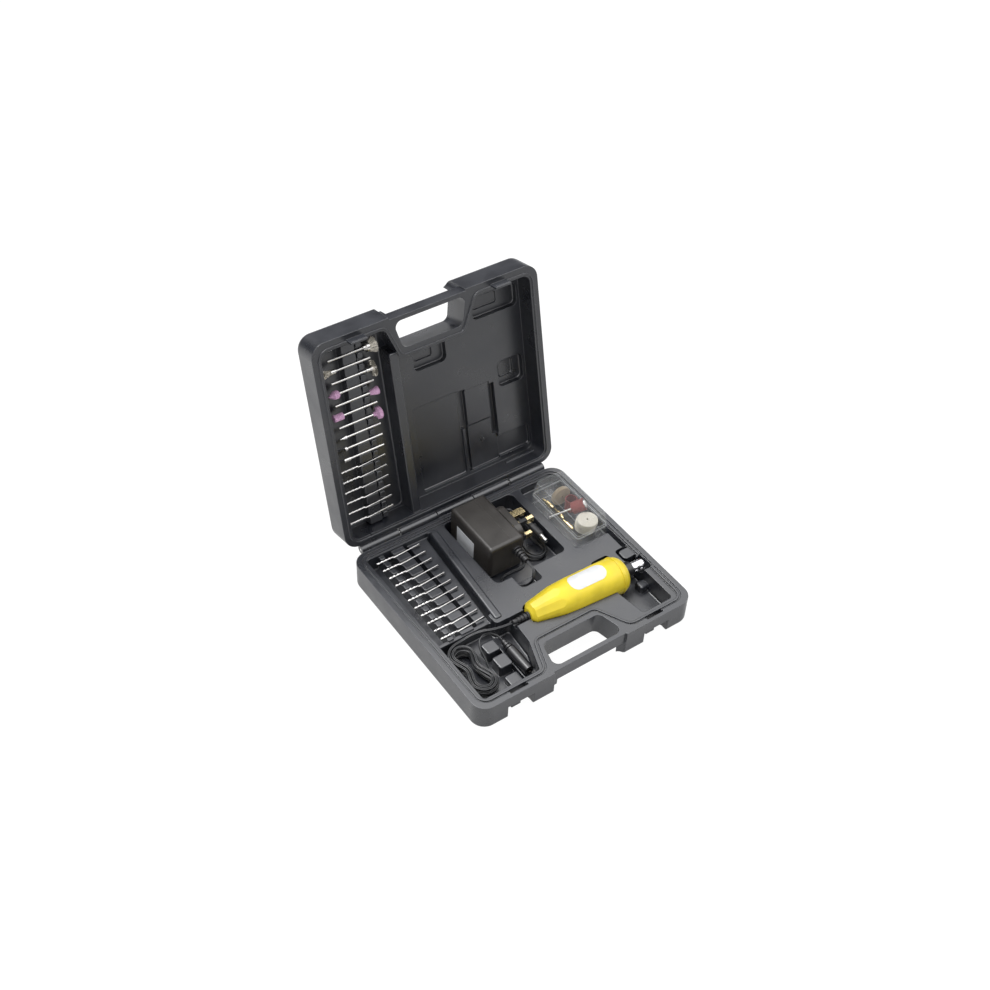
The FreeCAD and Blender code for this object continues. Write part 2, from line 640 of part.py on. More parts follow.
def tool_bed():
    """The trough that the tool lies in, open above, with room for its switch."""
    gap = size.bed_gap
    middle, rise = size.nose_end - size.nose_round, size.nose_radius - size.nose_round
    reach = size.nose_round + size.nose_bed_gap
    round_nose = [(middle + reach * math.cos(angle), rise + reach * math.sin(angle))
                  for angle in map(math.radians, (78, 53, 28, 3))]
    profile = [
        (-1.0, 9.8), (size.tail_chamfer - 1, size.tail_radius + gap),
        (size.shoulder_at, size.shoulder_radius + gap),
        (size.waist_at, size.waist_radius + gap), (size.bulge_at, size.bulge_radius + gap),
        (size.housing_end - gap, size.bulge_radius + gap),
        (size.housing_end - gap, size.lip_radius + gap),
        (size.lip_end + gap, size.lip_radius + gap), *round_nose,
        (size.nose_end + 2, size.neck_bed_radius), (size.nut_end + 4, size.neck_bed_radius)]
    closed = [(profile[0][0], 0.0), *profile, (profile[-1][0], 0.0)]
    plan = [Vector(along, radius, 0) for along, radius in profile]
    plan += [Vector(along, -radius, 0) for along, radius in reversed(profile)]
    above = Part.Face(Part.makePolygon(plan + plan[:1])).extrude(Vector(0, 0, 5))
    switch = block(size.slider_at - 9, size.slider_at + 13, -4, 4, -size.slider_low - 2.0, 0)
    bed = spun(closed).fuse([above, switch])
    bed.Placement = tool_place()
    return bed


def make_case_base():
    """The case's lower half, with its rack, hollows, rim, catch slots and knuckles."""
    blank = box("base_block", ("-case_width / 2", "-case_depth / 2", "0"),
                ("case_width", "case_depth", "base_height"))
    blank = smoothed("base_corners", blank, size.case_corner,
                     lambda edge: runs_along(edge, Z_AXIS))
    blank = smoothed("base_underside", blank, size.base_edge, lambda edge: level(edge, 0.0))
    top = size.base_height
    deck = top - size.deck_drop
    middle = (size.bay_inner + size.bay_outer) / 2
    front = -size.case_depth / 2 - BEYOND
    open_rim = rim_face()
    open_rim.translate(Vector(0, 0, deck))
    away = [
        open_rim.extrude(Vector(0, 0, BEYOND + size.deck_drop)),
        rim_ring(size.bead_width, size.bead_width + size.groove_width,
                 top - size.groove_depth, top + BEYOND),
        handle_hole(0.0, size.hole_flare_base),
        *bar_clearance(-BEYOND, top - size.bar_height), tool_bed(),
    ]
    for side in (-1, 1):
        left, right = sorted((side * size.bay_inner, side * size.bay_outer))
        away.append(block(left, right, front, -size.bay_back, -BEYOND, size.bay_roof))
        for x in (left + size.scallop_radius, right - size.scallop_radius):
            scallop = Vector(x, -size.bay_back - 0.5, -BEYOND)
            away.append(Part.makeCylinder(size.scallop_radius, size.bay_roof + BEYOND, scallop))
        reach = size.catch_half + 1
        away.append(block(side * middle - reach, side * middle + reach, -size.slot_front,
                          -size.slot_back, size.bay_roof - BEYOND, top + BEYOND))
    back = size.rack_back
    away += [
        hollow(oblong(-size.rack_left, -size.shelf_left, -size.rack_front, back),
               3.0, size.rack_floor, deck),
        hollow([(-size.shelf_left - 8, -size.rack_front), (-51.3, -size.rack_front),
                (-41.6, back), (-size.shelf_left - 8, back)], 3.0, size.shelf_floor, deck, 0.8),
        hollow([(-54.6, -size.rack_front + 1), (-50.8, -size.rack_front + 1),
                (-41.2, back - 1), (-45.0, back - 1)], 1.2, 13.0, deck, 0.5),
        hollow([(-size.lead_left, -size.lead_front), (-51.5, -size.lead_front), (-39.8, -68.0),
                (-size.lead_right, -33.0), (-53.5, -33.0), (-53.5, -size.lead_back),
                (-size.lead_left, -size.lead_back)], 3.5, size.lead_floor, deck),
        hollow(oblong(-size.rack_left + 0.6, -54.0, -30.0, -15.0), 2.0,
               size.divider_height, deck, 0.8),
        hollow(oblong(-45.0, -20.0, -46.3, -33.3), 2.0, 20.6, deck, 1.0),
        hollow(oblong(-size.power_left, size.power_right, size.power_front, size.power_back),
               6.0, size.power_floor, deck),
        hollow(oblong(-size.finger_left, size.finger_right, -size.finger_half,
                      size.finger_half + 4), 5.0, size.finger_floor, deck),
        hollow(oblong(size.tray_left, size.tray_right, size.tray_front, size.tray_back),
               4.0, size.tray_floor, deck),
        hollow(oblong(size.tray_side_left, size.tray_right, -size.tray_side_front,
                      size.tray_front + 3), 2.0, size.tray_floor, deck),
        hollow([(size.nose_left, -size.nose_front), (size.nose_right, -size.nose_front),
                (size.nose_right, -size.nose_back), (92.0, -size.nose_back),
                (69.0, -64.0)], 4.0, size.nose_floor, deck),
        hollow(oblong(size.reach_left, size.reach_right, -size.reach_front,
                      -size.reach_back), 5.0, size.reach_floor, deck),
        hollow(oblong(size.moat_left, size.tray_right, -size.moat_front, -size.moat_back),
               4.0, size.moat_floor, deck),
    ]
    carved = cut("base_carved", blank, feature("base_hollows", away[0].fuse(away[1:])))
    seat = size.base_bit_height - size.shank_radius - size.saddle_gap
    last = size.rack_back + 0.6
    added = rack([(size.base_pad_x, size.pad_length, size.base_pad_top, 0.0, -22.5, last),
                  (size.base_peg_x, size.peg_length, size.base_peg_top, 0.7, -22.5, last)],
                 size.base_bit_pitch, size.base_bit_first, size.base_bit_count + 1,
                 size.rack_floor - 1, seat)
    added.append(pad([(-51.9, -size.rib_front), (-43.3, -size.rib_front), (-33.0, 102.3),
                      (-41.6, 102.3)], 2.5, 11.0, top, 2.2))
    left, wide = -size.lead_pad_left, size.lead_pad_size
    for front_y, back_y, tip in ((-54.5, -40.4, size.lead_pad_top),
                                 (-75.0, -59.5, size.lead_pad_top), (-96.0, -80.0, 12.0)):
        added.append(pad(oblong(left, left + wide, front_y, back_y), 2.5,
                         size.lead_floor - 1, tip, 1.5))
    added.append(pad(oblong(-size.ledge_left, -size.ledge_right, -99.0, -46.0), 2.0,
                     size.lead_floor - 1, size.ledge_top))
    added.append(pad(oblong(size.bump_left, size.bump_left + size.bump_size,
                            -size.bump_front, -size.bump_front + size.bump_size), 3.0,
                     size.nose_floor - 1, size.bump_top, 2.5))
    added.append(pad(oblong(size.block_left, size.rim_side + 1, -size.block_front,
                            -size.block_back), 3.5, size.moat_floor - 1, deck, 1.0))
    side = 2 * size.knuckle_pitch + 1
    added += knuckles((-side, 0.0, side), -1)
    raised = feature("base_raised", added[0].fuse(added[1:]))
    return keep(joined("case_base", [carved, raised]), "case_base")


def make_case_lid():
    """The case's upper half, drawn shut, with its rack, hollows, tongue and catches."""
    low, roof = size.base_height + size.seam_gap, size.base_height + size.lid_height
    blank = box("lid_block",
                ("-case_width / 2", "-case_depth / 2", "base_height + seam_gap"),
                ("case_width", "case_depth", "lid_height - seam_gap"))
    blank = smoothed("lid_corners", blank, size.case_corner,
                     lambda edge: runs_along(edge, Z_AXIS))
    blank = smoothed("lid_top", blank, size.lid_edge, lambda edge: level(edge, roof))
    inside = rim_face()
    inside.translate(Vector(0, 0, low - BEYOND))
    inside = inside.extrude(Vector(0, 0, size.panel_roof - low + BEYOND))
    mouth = size.panel_roof - 1
    back, split = size.lid_recess_back, size.lid_split
    left, right, block_left = size.lid_step_left, size.lid_step_right, size.lid_block_left
    away = [
        inside, handle_hole(roof, size.hole_flare_lid),
        *bar_clearance(size.base_height + size.bar_height, roof + BEYOND),
        hollow(oblong(-size.lid_rack_left, -size.lid_rack_right, -size.lid_rack_front,
                      size.lid_rack_back), 6.0, size.lid_rack_roof, low),
        hollow(oblong(-size.lid_power_left, size.lid_power_right, size.lid_power_front, back),
               3.0, size.lid_power_roof, mouth),
        hollow(oblong(left - 0.5, right + 0.5, size.lid_step_front, split), 1.0,
               size.lid_step_roof, mouth, 0.8),
        block(left - 0.5, right + 0.5, split - 0.5, split + size.lid_split_width,
              mouth - BEYOND, size.lid_split_roof),
        hollow(oblong(left - 0.5, block_left - 1, split + size.lid_split_width, back), 1.0,
               size.lid_power_roof, mouth, 0.8),
        hollow(oblong(block_left - 2, size.lid_block_right, size.lid_block_front, back - 2.5),
               3.0, size.lid_power_roof, mouth),
    ]
    for corners in (oblong(size.lid_power_right - 0.5, left, 5.0, split + 1),
                    oblong(left - 5, left, split - 1, back),
                    oblong(right - 0.5, block_left, 10.0, 72.0)):
        away.append(hollow(corners, 1.0, size.lid_groove_roof, mouth, 0.8))
    for left, right, front, end in ((61.0, 115.0, -90.0, -65.0), (-12.0, 26.0, -64.0, -35.0),
                                    (84.0, 115.0, -10.0, 20.0)):
        away.append(hollow(oblong(left, right, front, end), 6.0, size.lid_groove_roof, mouth))
        away.append(hollow(oblong(left + 4, (left + right) / 2 + 6, front + 4, end - 8), 3.0,
                           size.lid_groove_roof + 1.8, mouth))
    carved = cut("lid_carved", blank, feature("lid_hollows", away[0].fuse(away[1:])))
    seat = size.lid_bit_height + size.shank_radius + size.saddle_gap
    ends = (-size.lid_rack_front - 0.6, size.lid_rack_back + 0.6)
    added = rack([(size.lid_pad_x, size.pad_length, size.lid_pad_tip, 0.0, *ends),
                  (size.lid_peg_x, size.peg_length, size.lid_peg_tip, 1.5, *ends)],
                 size.lid_bit_pitch, size.lid_bit_first, size.lid_bit_count + 1,
                 size.lid_rack_roof + 1, seat)
    rib_right = -size.lid_rack_right + size.lid_rib_width
    added.append(pad(oblong(-size.lid_rack_right, rib_right, -76.0, size.rim_back + 1), 2.0,
                     size.lid_rack_roof + 1, size.lid_rib_tip, 1.8))
    added.append(block(size.lid_ledge_left, size.lid_ledge_right, size.rim_back - 1.6,
                       size.rim_back + 0.5, size.lid_ledge_low,
                       size.lid_ledge_low + size.lid_ledge_thick))
    inner = size.bead_width + (size.groove_width - size.tongue_width) / 2
    added.append(rim_ring(inner, inner + size.tongue_width, low - size.tongue_height, low + 1))
    middle = (size.bay_inner + size.bay_outer) / 2
    for x in (-middle, middle):
        left, right = x - size.catch_half, x + size.catch_half
        front = -size.catch_front
        tip = size.base_height - size.catch_drop
        added.append(block(left, right, front, front + size.catch_thick, tip, low + 2))
        added.append(block(left + 1, right - 1, front - size.catch_nub, front + 1,
                           tip + 0.5, tip + 2.5))
    added += knuckles((-size.knuckle_pitch, size.knuckle_pitch), 1)
    raised = feature("lid_raised", added[0].fuse(added[1:]))
    return keep(joined("case_lid", [carved, raised]), "case_lid", lid_place())


def make_hinge_pin():
    """The steel pin through the case's knuckles."""
    pin = rod("hinge_pin", ("-hinge_pin_length / 2", "case_depth / 2 + hinge_behind",
                            "base_height"), "hinge_pin_radius", "hinge_pin_length", X_AXIS)
    return keep(pin, "hinge_pin")


# Bits


def drill():
    """A small twist drill along X, its point first, with its flutes' stretch turned down."""
    start, flute = size.drill_tip, size.flute_length
    return spun([(0, 0), (start, size.flute_radius), (flute, size.flute_radius),
                 (flute + 1, size.shank_radius), (size.bit_length, size.shank_radius),
                 (size.bit_length, 0)])


def headed(head):
    """A shank along X with a head at its far end, as pairs past the shank's end."""
    points = [(0, 0), (0, size.shank_radius), (size.headed_shank, size.shank_radius)]
    return spun(points + [(size.headed_shank + along, radius) for along, radius in head])


def head_only(points):
    """A bit's head alone, drawn from the end of its shank."""
    return spun([(size.headed_shank + along, radius) for along, radius in points])


def make_base_drills():
    """The drills in the base's rack: separate, alike, in one node."""
    pieces = []
    for number in range(int(size.base_bit_count)):
        piece = drill()
        y = size.base_bit_first + number * size.base_bit_pitch
        piece.Placement = lay(size.base_bit_left, y, size.base_bit_height)
        pieces.append(piece)
    return keep(feature("base_drills", Part.makeCompound(pieces)), "base_drills")


def in_lid_rack(piece, number, head_left):
    """Lays a bit in one of the lid's saddles, its head to the left or to the right."""
    y = size.lid_bit_first + number * size.lid_bit_pitch
    if head_left:
        piece.Placement = lay(size.lid_bit_right, y, size.lid_bit_height, X_AXIS * -1)
    else:
        piece.Placement = lay(size.lid_bit_left + 7, y, size.lid_bit_height)
    return piece


def make_lid_bits():
    """The bits in the lid's rack: shanks, drills and burrs, then hubs, bristles and stones."""
    shank_end = [(0, 0)]
    burrs = {
        8: [(0.5, 2.1), (7.5, 0)],
        9: [(0.5, 1.2), (1.2, 1.9), (2.6, 2.3), (4.0, 1.9), (4.9, 0)],
        10: [(0, 2.0), (7.0, 2.0), (7.0, 0)],
    }
    shanks = [in_lid_rack(headed(shank_end), number, number % 2 == 0) for number in range(8)]
    shanks += [in_lid_rack(headed(head), number, True) for number, head in burrs.items()]
    drills = []
    for number in range(11, int(size.lid_bit_count)):
        piece = drill()
        y = size.lid_bit_first + number * size.lid_bit_pitch
        piece.Placement = lay(size.lid_bit_left, y, size.lid_bit_height)
        drills.append(piece)
    hubs = {
        0: [(0, 0), (0, 2.5), (6, 2.5), (6, 0)],
        1: [(0, 0), (0, 3.2), (3, 3.2), (3, 5.0), (6, 5.0), (6, 0)],
        2: [(0, 0), (0, 2.5), (5, 2.5), (5, 0)],
        3: [(0, 0), (0, 2.0), (5, 2.0), (5, 3.4), (10, 3.4), (10, 0)],
    }
    bristles = {
        0: [(6, 0), (6, 2.3), (13, 3.1), (13, 0)],
        1: [(6, 0), (6, 5.0), (8, 8.4), (12.5, 8.4), (12.5, 5.6), (9, 4.6), (9, 0)],
        2: [(5, 0), (5, 2.3), (13, 4.4), (13, 0)],
        3: [(6, 3.4), (6, 5.0), (6.4, 8.6), (8.8, 8.6), (9.2, 5.0), (9.2, 3.4)],
    }
    stones = {
        4: [(0, 0), (0, 2.8), (1.8, 4.2), (5.5, 4.2), (12, 0)],
        5: [(0, 0), (0, 2.2), (7.5, 4.2), (9.0, 4.2), (9.0, 0)],
        6: [(0, 0), (0, 3.6), (10, 3.6), (10, 0)],
        7: [(0, 0), (0, 1.9), (3, 2.3), (4.5, 6.2), (7.6, 6.4), (8.6, 5.4), (8.6, 0)],
    }
    lists = {"lid_shanks": shanks, "lid_drills": drills}
    for name, heads in (("brush_hubs", hubs), ("brush_bristles", bristles),
                        ("grinding_stones", stones)):
        lists[name] = [in_lid_rack(head_only(head), number, number % 2 == 0)
                       for number, head in heads.items()]
    for name, pieces in lists.items():
        keep(feature(name, Part.makeCompound(pieces)), name, lid_place())


# Rotary tool, drawn along X from its tail's face


def make_housing():
    """The tool's housing in two halves, parted level through its axis, and its screws."""
    outer = turned("housing_outer", [
        ("", ""), ("", "tail_face_radius"), ("tail_chamfer", "tail_radius"),
        ("shoulder_at", "shoulder_radius"), ("waist_at", "waist_radius"),
        ("bulge_at", "bulge_radius"), ("housing_end", "housing_front_radius"),
        ("housing_end", "")])
    inner = turned("housing_inner", [
        ("inner_start", ""), ("inner_start", "inner_tail_radius"),
        ("shoulder_at", "inner_shoulder_radius"), ("waist_at", "inner_waist_radius"),
        ("bulge_at", "inner_bulge_radius"), ("housing_end", "inner_front_radius"),
        ("housing_end", "")])
    sides = int(size.facet_sides)
    ends = []
    for along, flat in ((0.0, size.facet_start), (size.facet_end, size.facet_end_radius)):
        corner = flat / math.cos(math.pi / sides)
        angles = [(2 * number + 1) * math.pi / sides for number in range(sides)]
        points = [Vector(along, corner * math.cos(a), corner * math.sin(a)) for a in angles]
        ends.append(Part.makePolygon(points + points[:1]))
    facets = feature("housing_facets", Part.makeLoft(ends, True, True))
    rest = rod("housing_rest", ("facet_end", "0", "0"), "bulge_radius + 9", "housing_end",
               X_AXIS)
    skin = shared("housing_skin", [outer, joined("housing_limits", [facets, rest])])
    shell = cut("housing_shell", skin, inner)
    stays = []
    for name in ("rear_rib_at", "front_rib_at"):
        disc = rod(name + "_disc", (name, "0", "0"), "bulge_radius", "rib_thick", X_AXIS)
        hole = rod(name + "_hole", (name, "0", "0"), "can_radius", "rib_thick", X_AXIS)
        stays.append(cut(name + "_ring", disc, hole))
    holes = [rod("lead_hole", ("-1", "0", "0"), "lead_hole_radius", "inner_start + 2", X_AXIS)]
    screws = []
    for end in ("rear", "front"):
        for side in ("", "-"):
            name = f"{end}_boss" + ("_left" if side else "_right")
            x, y = f"{end}_screw_at", f"{side}{end}_screw_y"
            stays.append(rod(name, (x, y, "-bulge_radius"), "boss_radius",
                             "2 * bulge_radius"))
            seat = f"-{end}_screw_seat"
            holes.append(rod(name + "_head", (x, y, "-bulge_radius - 1"),
                             "screw_head_radius + screw_play",
                             f"bulge_radius + 1 - {end}_screw_seat"))
            holes.append(rod(name + "_play", (x, y, "-bulge_radius"),
                             "screw_radius + screw_play", "bulge_radius"))
            holes.append(rod(name + "_thread", (x, y, "-1"), "screw_radius",
                             "screw_tip + 1"))
            head = rod(name + "_screw_head", (x, y, seat + " - screw_head_height"),
                       "screw_head_radius", "screw_head_height")
            shank = rod(name + "_screw_shank", (x, y, seat), "screw_radius",
                        f"{end}_screw_seat + screw_tip")
            screws.append(joined(name + "_screw", [head, shank]))
    holes.append(box("switch_window",
                     ("slider_at - slider_length / 2 - slider_gap",
                      "-slider_width / 2 - slider_gap", "-bulge_radius - 1"),
                     ("slider_length + switch_travel + 2 * slider_gap",
                      "slider_width + 2 * slider_gap", "9")))
    inside = shared("housing_stays", [joined("housing_ribs", stays), inner])
    whole = cut("housing_whole", joined("housing_plain", [shell, inside]),
                joined("housing_holes", holes))
    for label, low in (("tool_housing_top", "0"), ("tool_housing_bottom", "-30")):
        half = box(label + "_space", ("-1", "-30", low), ("housing_end + 2", "60", "30"))
        keep(shared(label, [whole, half]), label, tool_place())
    keep(group("housing_screws", screws), "housing_screws", tool_place())


def make_nose():
    """The tool's rounded nose, which holds the front bearing."""
    plain = turned("nose_plain", [
        ("housing_end", "bearing_radius"), ("housing_end", "lip_radius"),
        ("lip_end", "lip_radius"), ("lip_end", "nose_radius"), ("nose_end", "nose_radius"), ("nose_end", "nose_bore"), ("nose_lip", "nose_bore"),
        ("nose_lip", "bearing_radius")])

    def front_edge(edge):
        bounds = edge.BoundBox
        return bounds.XMin > size.nose_end - 0.01 and bounds.ZMax > size.nose_radius - 0.01

    nose = smoothed("tool_nose", plain, size.nose_round, front_edge)
    keep(nose, "tool_nose", tool_place())


def make_bearing():
    """The front ball bearing: two races and a ring of balls."""
    start, end = size.bearing_start, size.bearing_start + size.bearing_length
    inner = size.bearing_bore + size.race_thick
    outer = size.bearing_radius - size.race_thick
    pieces = [
        spun([(start, size.bearing_bore), (start, inner), (end, inner),
              (end, size.bearing_bore)]),
        spun([(start, outer), (start, size.bearing_radius), (end, size.bearing_radius),
              (end, outer)])]
    for number in range(int(size.ball_count)):
        angle = 2 * math.pi * number / size.ball_count
        middle = (inner + outer) / 2
        place = Vector((start + end) / 2, middle * math.cos(angle), middle * math.sin(angle))
        pieces.append(Part.makeSphere(size.ball_radius, place))
    keep(feature("front_bearing", Part.makeCompound(pieces)), "front_bearing", tool_place())


def make_motor():
    """The motor's fixed pieces: can, end cap, magnets, bushes and brushes."""
    can = turned("motor_can", [
        ("can_start", "can_inner_radius"), ("can_start", "can_radius"),
        ("can_end", "can_radius"), ("can_end", "bush_radius"),
        ("can_inner_end", "bush_radius"), ("can_inner_end", "can_inner_radius")])
    keep(can, "motor_can", tool_place())
    disc = rod("end_cap_disc", ("cap_start", "0", "0"), "can_radius",
               "can_start - cap_start", X_AXIS)
    hole = rod("end_cap_hole", ("cap_start", "0", "0"), "cap_bore", "can_start - cap_start",
               X_AXIS)
    holders = [
        box("brush_holder_right", ("can_start - 1", "commutator_radius + brush_length", "-2"),
            ("7", "2", "4")),
        box("brush_holder_left", ("can_start - 1", "-commutator_radius - brush_length - 2",
                                  "-2"), ("7", "2", "4"))]
    cap = joined("motor_end_cap", [cut("end_cap_ring", disc, hole), *holders])
    keep(cap, "motor_end_cap", tool_place())
    ring = cut("magnet_ring",
               rod("magnet_outer", ("magnet_start", "0", "0"), "can_inner_radius",
                   "magnet_length", X_AXIS),
               rod("magnet_inner", ("magnet_start", "0", "0"), "magnet_radius",
                   "magnet_length", X_AXIS))
    gap = box("magnet_gap_space", ("magnet_start - 1", "-20", "-magnet_gap"),
              ("magnet_length + 2", "40", "2 * magnet_gap"))
    keep(cut("motor_magnets", ring, gap), "motor_magnets", tool_place())
    bushes = []
    for name in ("rear_bush", "front_bush"):
        at = name + "_at"
        bushes.append(cut(
            name, rod(name + "_outer", (at, "0", "0"), "bush_radius", "bush_length", X_AXIS),
            rod(name + "_bore", (at, "0", "0"), "bush_bore", "bush_length", X_AXIS)))
    keep(group("motor_bushes", bushes), "motor_bushes", tool_place())
    x = "commutator_start + (commutator_length - brush_width) / 2"
    extent = ("brush_width", "brush_length - brush_gap", "brush_width")
    brushes = [
        box("brush_right", (x, "commutator_radius + brush_gap", "-brush_width / 2"), extent),
        box("brush_left", (x, "-commutator_radius - brush_length", "-brush_width / 2"),
            extent)]
    keep(group("carbon_brushes", brushes), "carbon_brushes", tool_place())


def make_rotor():
    """What turns: shaft, core, windings, commutator, spindle, collet and its nut."""
    shaft = turned("motor_shaft", [
        ("shaft_start", ""), ("shaft_start", "shaft_radius"), ("shaft_end", "shaft_radius"),
        ("shaft_end", "")])
    keep(shaft, "motor_shaft", tool_place())
    disc = rod("core_disc", ("core_start", "0", "0"), "core_radius", "core_length", X_AXIS)
    bore = rod("core_bore", ("core_start", "0", "0"), "shaft_radius", "core_length", X_AXIS)
    slots = []
    for number in range(3):
        slot = box(f"core_slot_{number}", ("core_start", "-slot_width / 2",
                                           "core_radius - slot_depth"),
                   ("core_length", "slot_width", "slot_depth + 1"))
        slots.append(feature(f"core_slot_{number}_turned", turned_copy(slot, 120 * number)))
    core = cut("core_form", disc, joined("core_cuts", [bore, *slots]))
    keep(group("armature_core", [core]), "armature_core", tool_place())
    wire = rod("winding_blank", ("core_start - winding_overhang", "0", "0"),
               "winding_radius", "core_length + 2 * winding_overhang", X_AXIS)
    through = rod("winding_bore", ("core_start - winding_overhang", "0", "0"),
                  "shaft_radius", "core_length + 2 * winding_overhang", X_AXIS)
    winding = cut("armature_windings", cut("winding_open", wire, through), core)
    keep(winding, "armature_windings", tool_place())
    commutator = cut(
        "commutator", rod("commutator_outer", ("commutator_start", "0", "0"),
                          "commutator_radius", "commutator_length", X_AXIS),
        rod("commutator_bore", ("commutator_start", "0", "0"), "shaft_radius",
            "commutator_length", X_AXIS))
    keep(commutator, "commutator", tool_place())
    plain = turned("spindle_plain", [
        ("stem_start", "shaft_radius"), ("stem_start", "stem_radius"),
        ("collar_start", "stem_radius"), ("collar_start", "collar_radius"),
        ("collar_end", "collar_radius"), ("collar_end", "thread_radius"),
        ("thread_end", "thread_radius"), ("thread_end", "seat_radius"),
        ("seat_start", "seat_radius"), ("seat_start", ""), ("shaft_end", ""),
        ("shaft_end", "shaft_radius")])

    def collar_edge(edge):
        bounds = edge.BoundBox
        return bounds.XLength < 0.01 and abs(bounds.ZMax - size.collar_radius) < 0.01

    keep(smoothed("spindle", plain, size.collar_chamfer, collar_edge), "spindle",
         tool_place())
    whole = turned("collet_whole", [
        ("collet_start", "collet_bore"), ("collet_start", "collet_radius"),
        ("collet_taper", "collet_radius"), ("collet_end", "collet_tip_radius"),
        ("collet_end", "collet_bore")])
    slit = ("collet_slit_start", "-collet_radius - 1", "-collet_slit / 2")
    across = ("collet_slit_start", "-collet_slit / 2", "-collet_radius - 1")
    slits = joined("collet_slits", [
        box("collet_slit_flat", slit, ("20", "2 * collet_radius + 2", "collet_slit")),
        box("collet_slit_upright", across, ("20", "collet_slit", "2 * collet_radius + 2"))])
    keep(cut("collet", whole, slits), "collet", tool_place())
    nut = turned("nut_plain", [
        ("nut_start", "nut_bore"), ("nut_start", "nut_radius"),
        ("nut_chamfer_at", "nut_radius"), ("nut_end", "nut_front_radius"),
        ("nut_end", "nut_mouth"), ("nut_bore_end", "nut_throat"),
        ("nut_bore_end", "nut_bore")])
    cuts = []
    for ring in ("nut_slot_first", "nut_slot_second"):
        slot = box(ring + "_block", ("nut_start + " + ring, "-nut_slot / 2",
                                     "nut_radius - nut_slot_depth"),
                   ("nut_slot_length", "nut_slot", "nut_slot_depth + 1"))
        for number in range(int(size.nut_slots)):
            turn = 360 * number / size.nut_slots
            cuts.append(feature(f"{ring}_turned_{number}", turned_copy(slot, turn)))
    keep(cut("collet_nut", nut, group("nut_slots_all", cuts)), "collet_nut", tool_place())


def turned_copy(piece, angle):
    """A copy of an object's shape, turned about X."""
    document.recompute()
    shape = piece.Shape.copy()
    shape.rotate(Vector(), X_AXIS, angle)
    return shape


def make_tool_trim():
    """The tool's plain label, its switch with its slider, and its lead's strain relief."""

    def body(extra):
        return spun([(size.shoulder_at, 0), (size.shoulder_at, size.shoulder_radius + extra),
                     (size.waist_at, size.waist_radius + extra),
                     (size.bulge_at, size.bulge_radius + extra),
                     (size.housing_end, size.housing_front_radius + extra),
                     (size.housing_end, 0)])

    half, side = size.label_length / 2, size.label_width / 2
    window = prism(oblong(size.label_middle - half, size.label_middle + half, -side, side),
                   side * 0.86, 1.0, 40.0)
    label = body(size.label_thick).cut(body(0.0)).common(window)
    keep(feature("tool_label", label), "tool_label", tool_place())
    switch = box("switch_block", ("switch_at - switch_length / 2", "-switch_width / 2",
                                  "-switch_low"),
                 ("switch_length", "switch_width", "switch_height"))
    slot = box("switch_slot", ("slider_at - 2", "-1.4", "-switch_low - 1"),
               ("switch_travel + 4", "2.8", "4"))
    keep(cut("power_switch", switch, slot), "power_switch", tool_place())
    knob = box("slider_knob", ("slider_at - slider_length / 2", "-slider_width / 2",
                               "-slider_low"),
               ("slider_length", "slider_width", "slider_low - switch_low - slider_gap"))
    stem = box("slider_stem", ("slider_at - 1.2", "-1", "-switch_low - slider_gap - 0.5"),
               ("2.4", "2", "3"))
    keep(joined("switch_slider", [knob, stem]), "switch_slider", tool_place())
    relief = ribbed(size.tool_relief_length, size.tool_relief_big, size.tool_relief_small,
                    size.tool_relief_ribs, size.inner_start, size.relief_anchor)
    keep(feature("tool_strain_relief", relief), "tool_strain_relief",
         tool_place().multiply(lay(0, 0, 0, X_AXIS * -1)))


# Cords


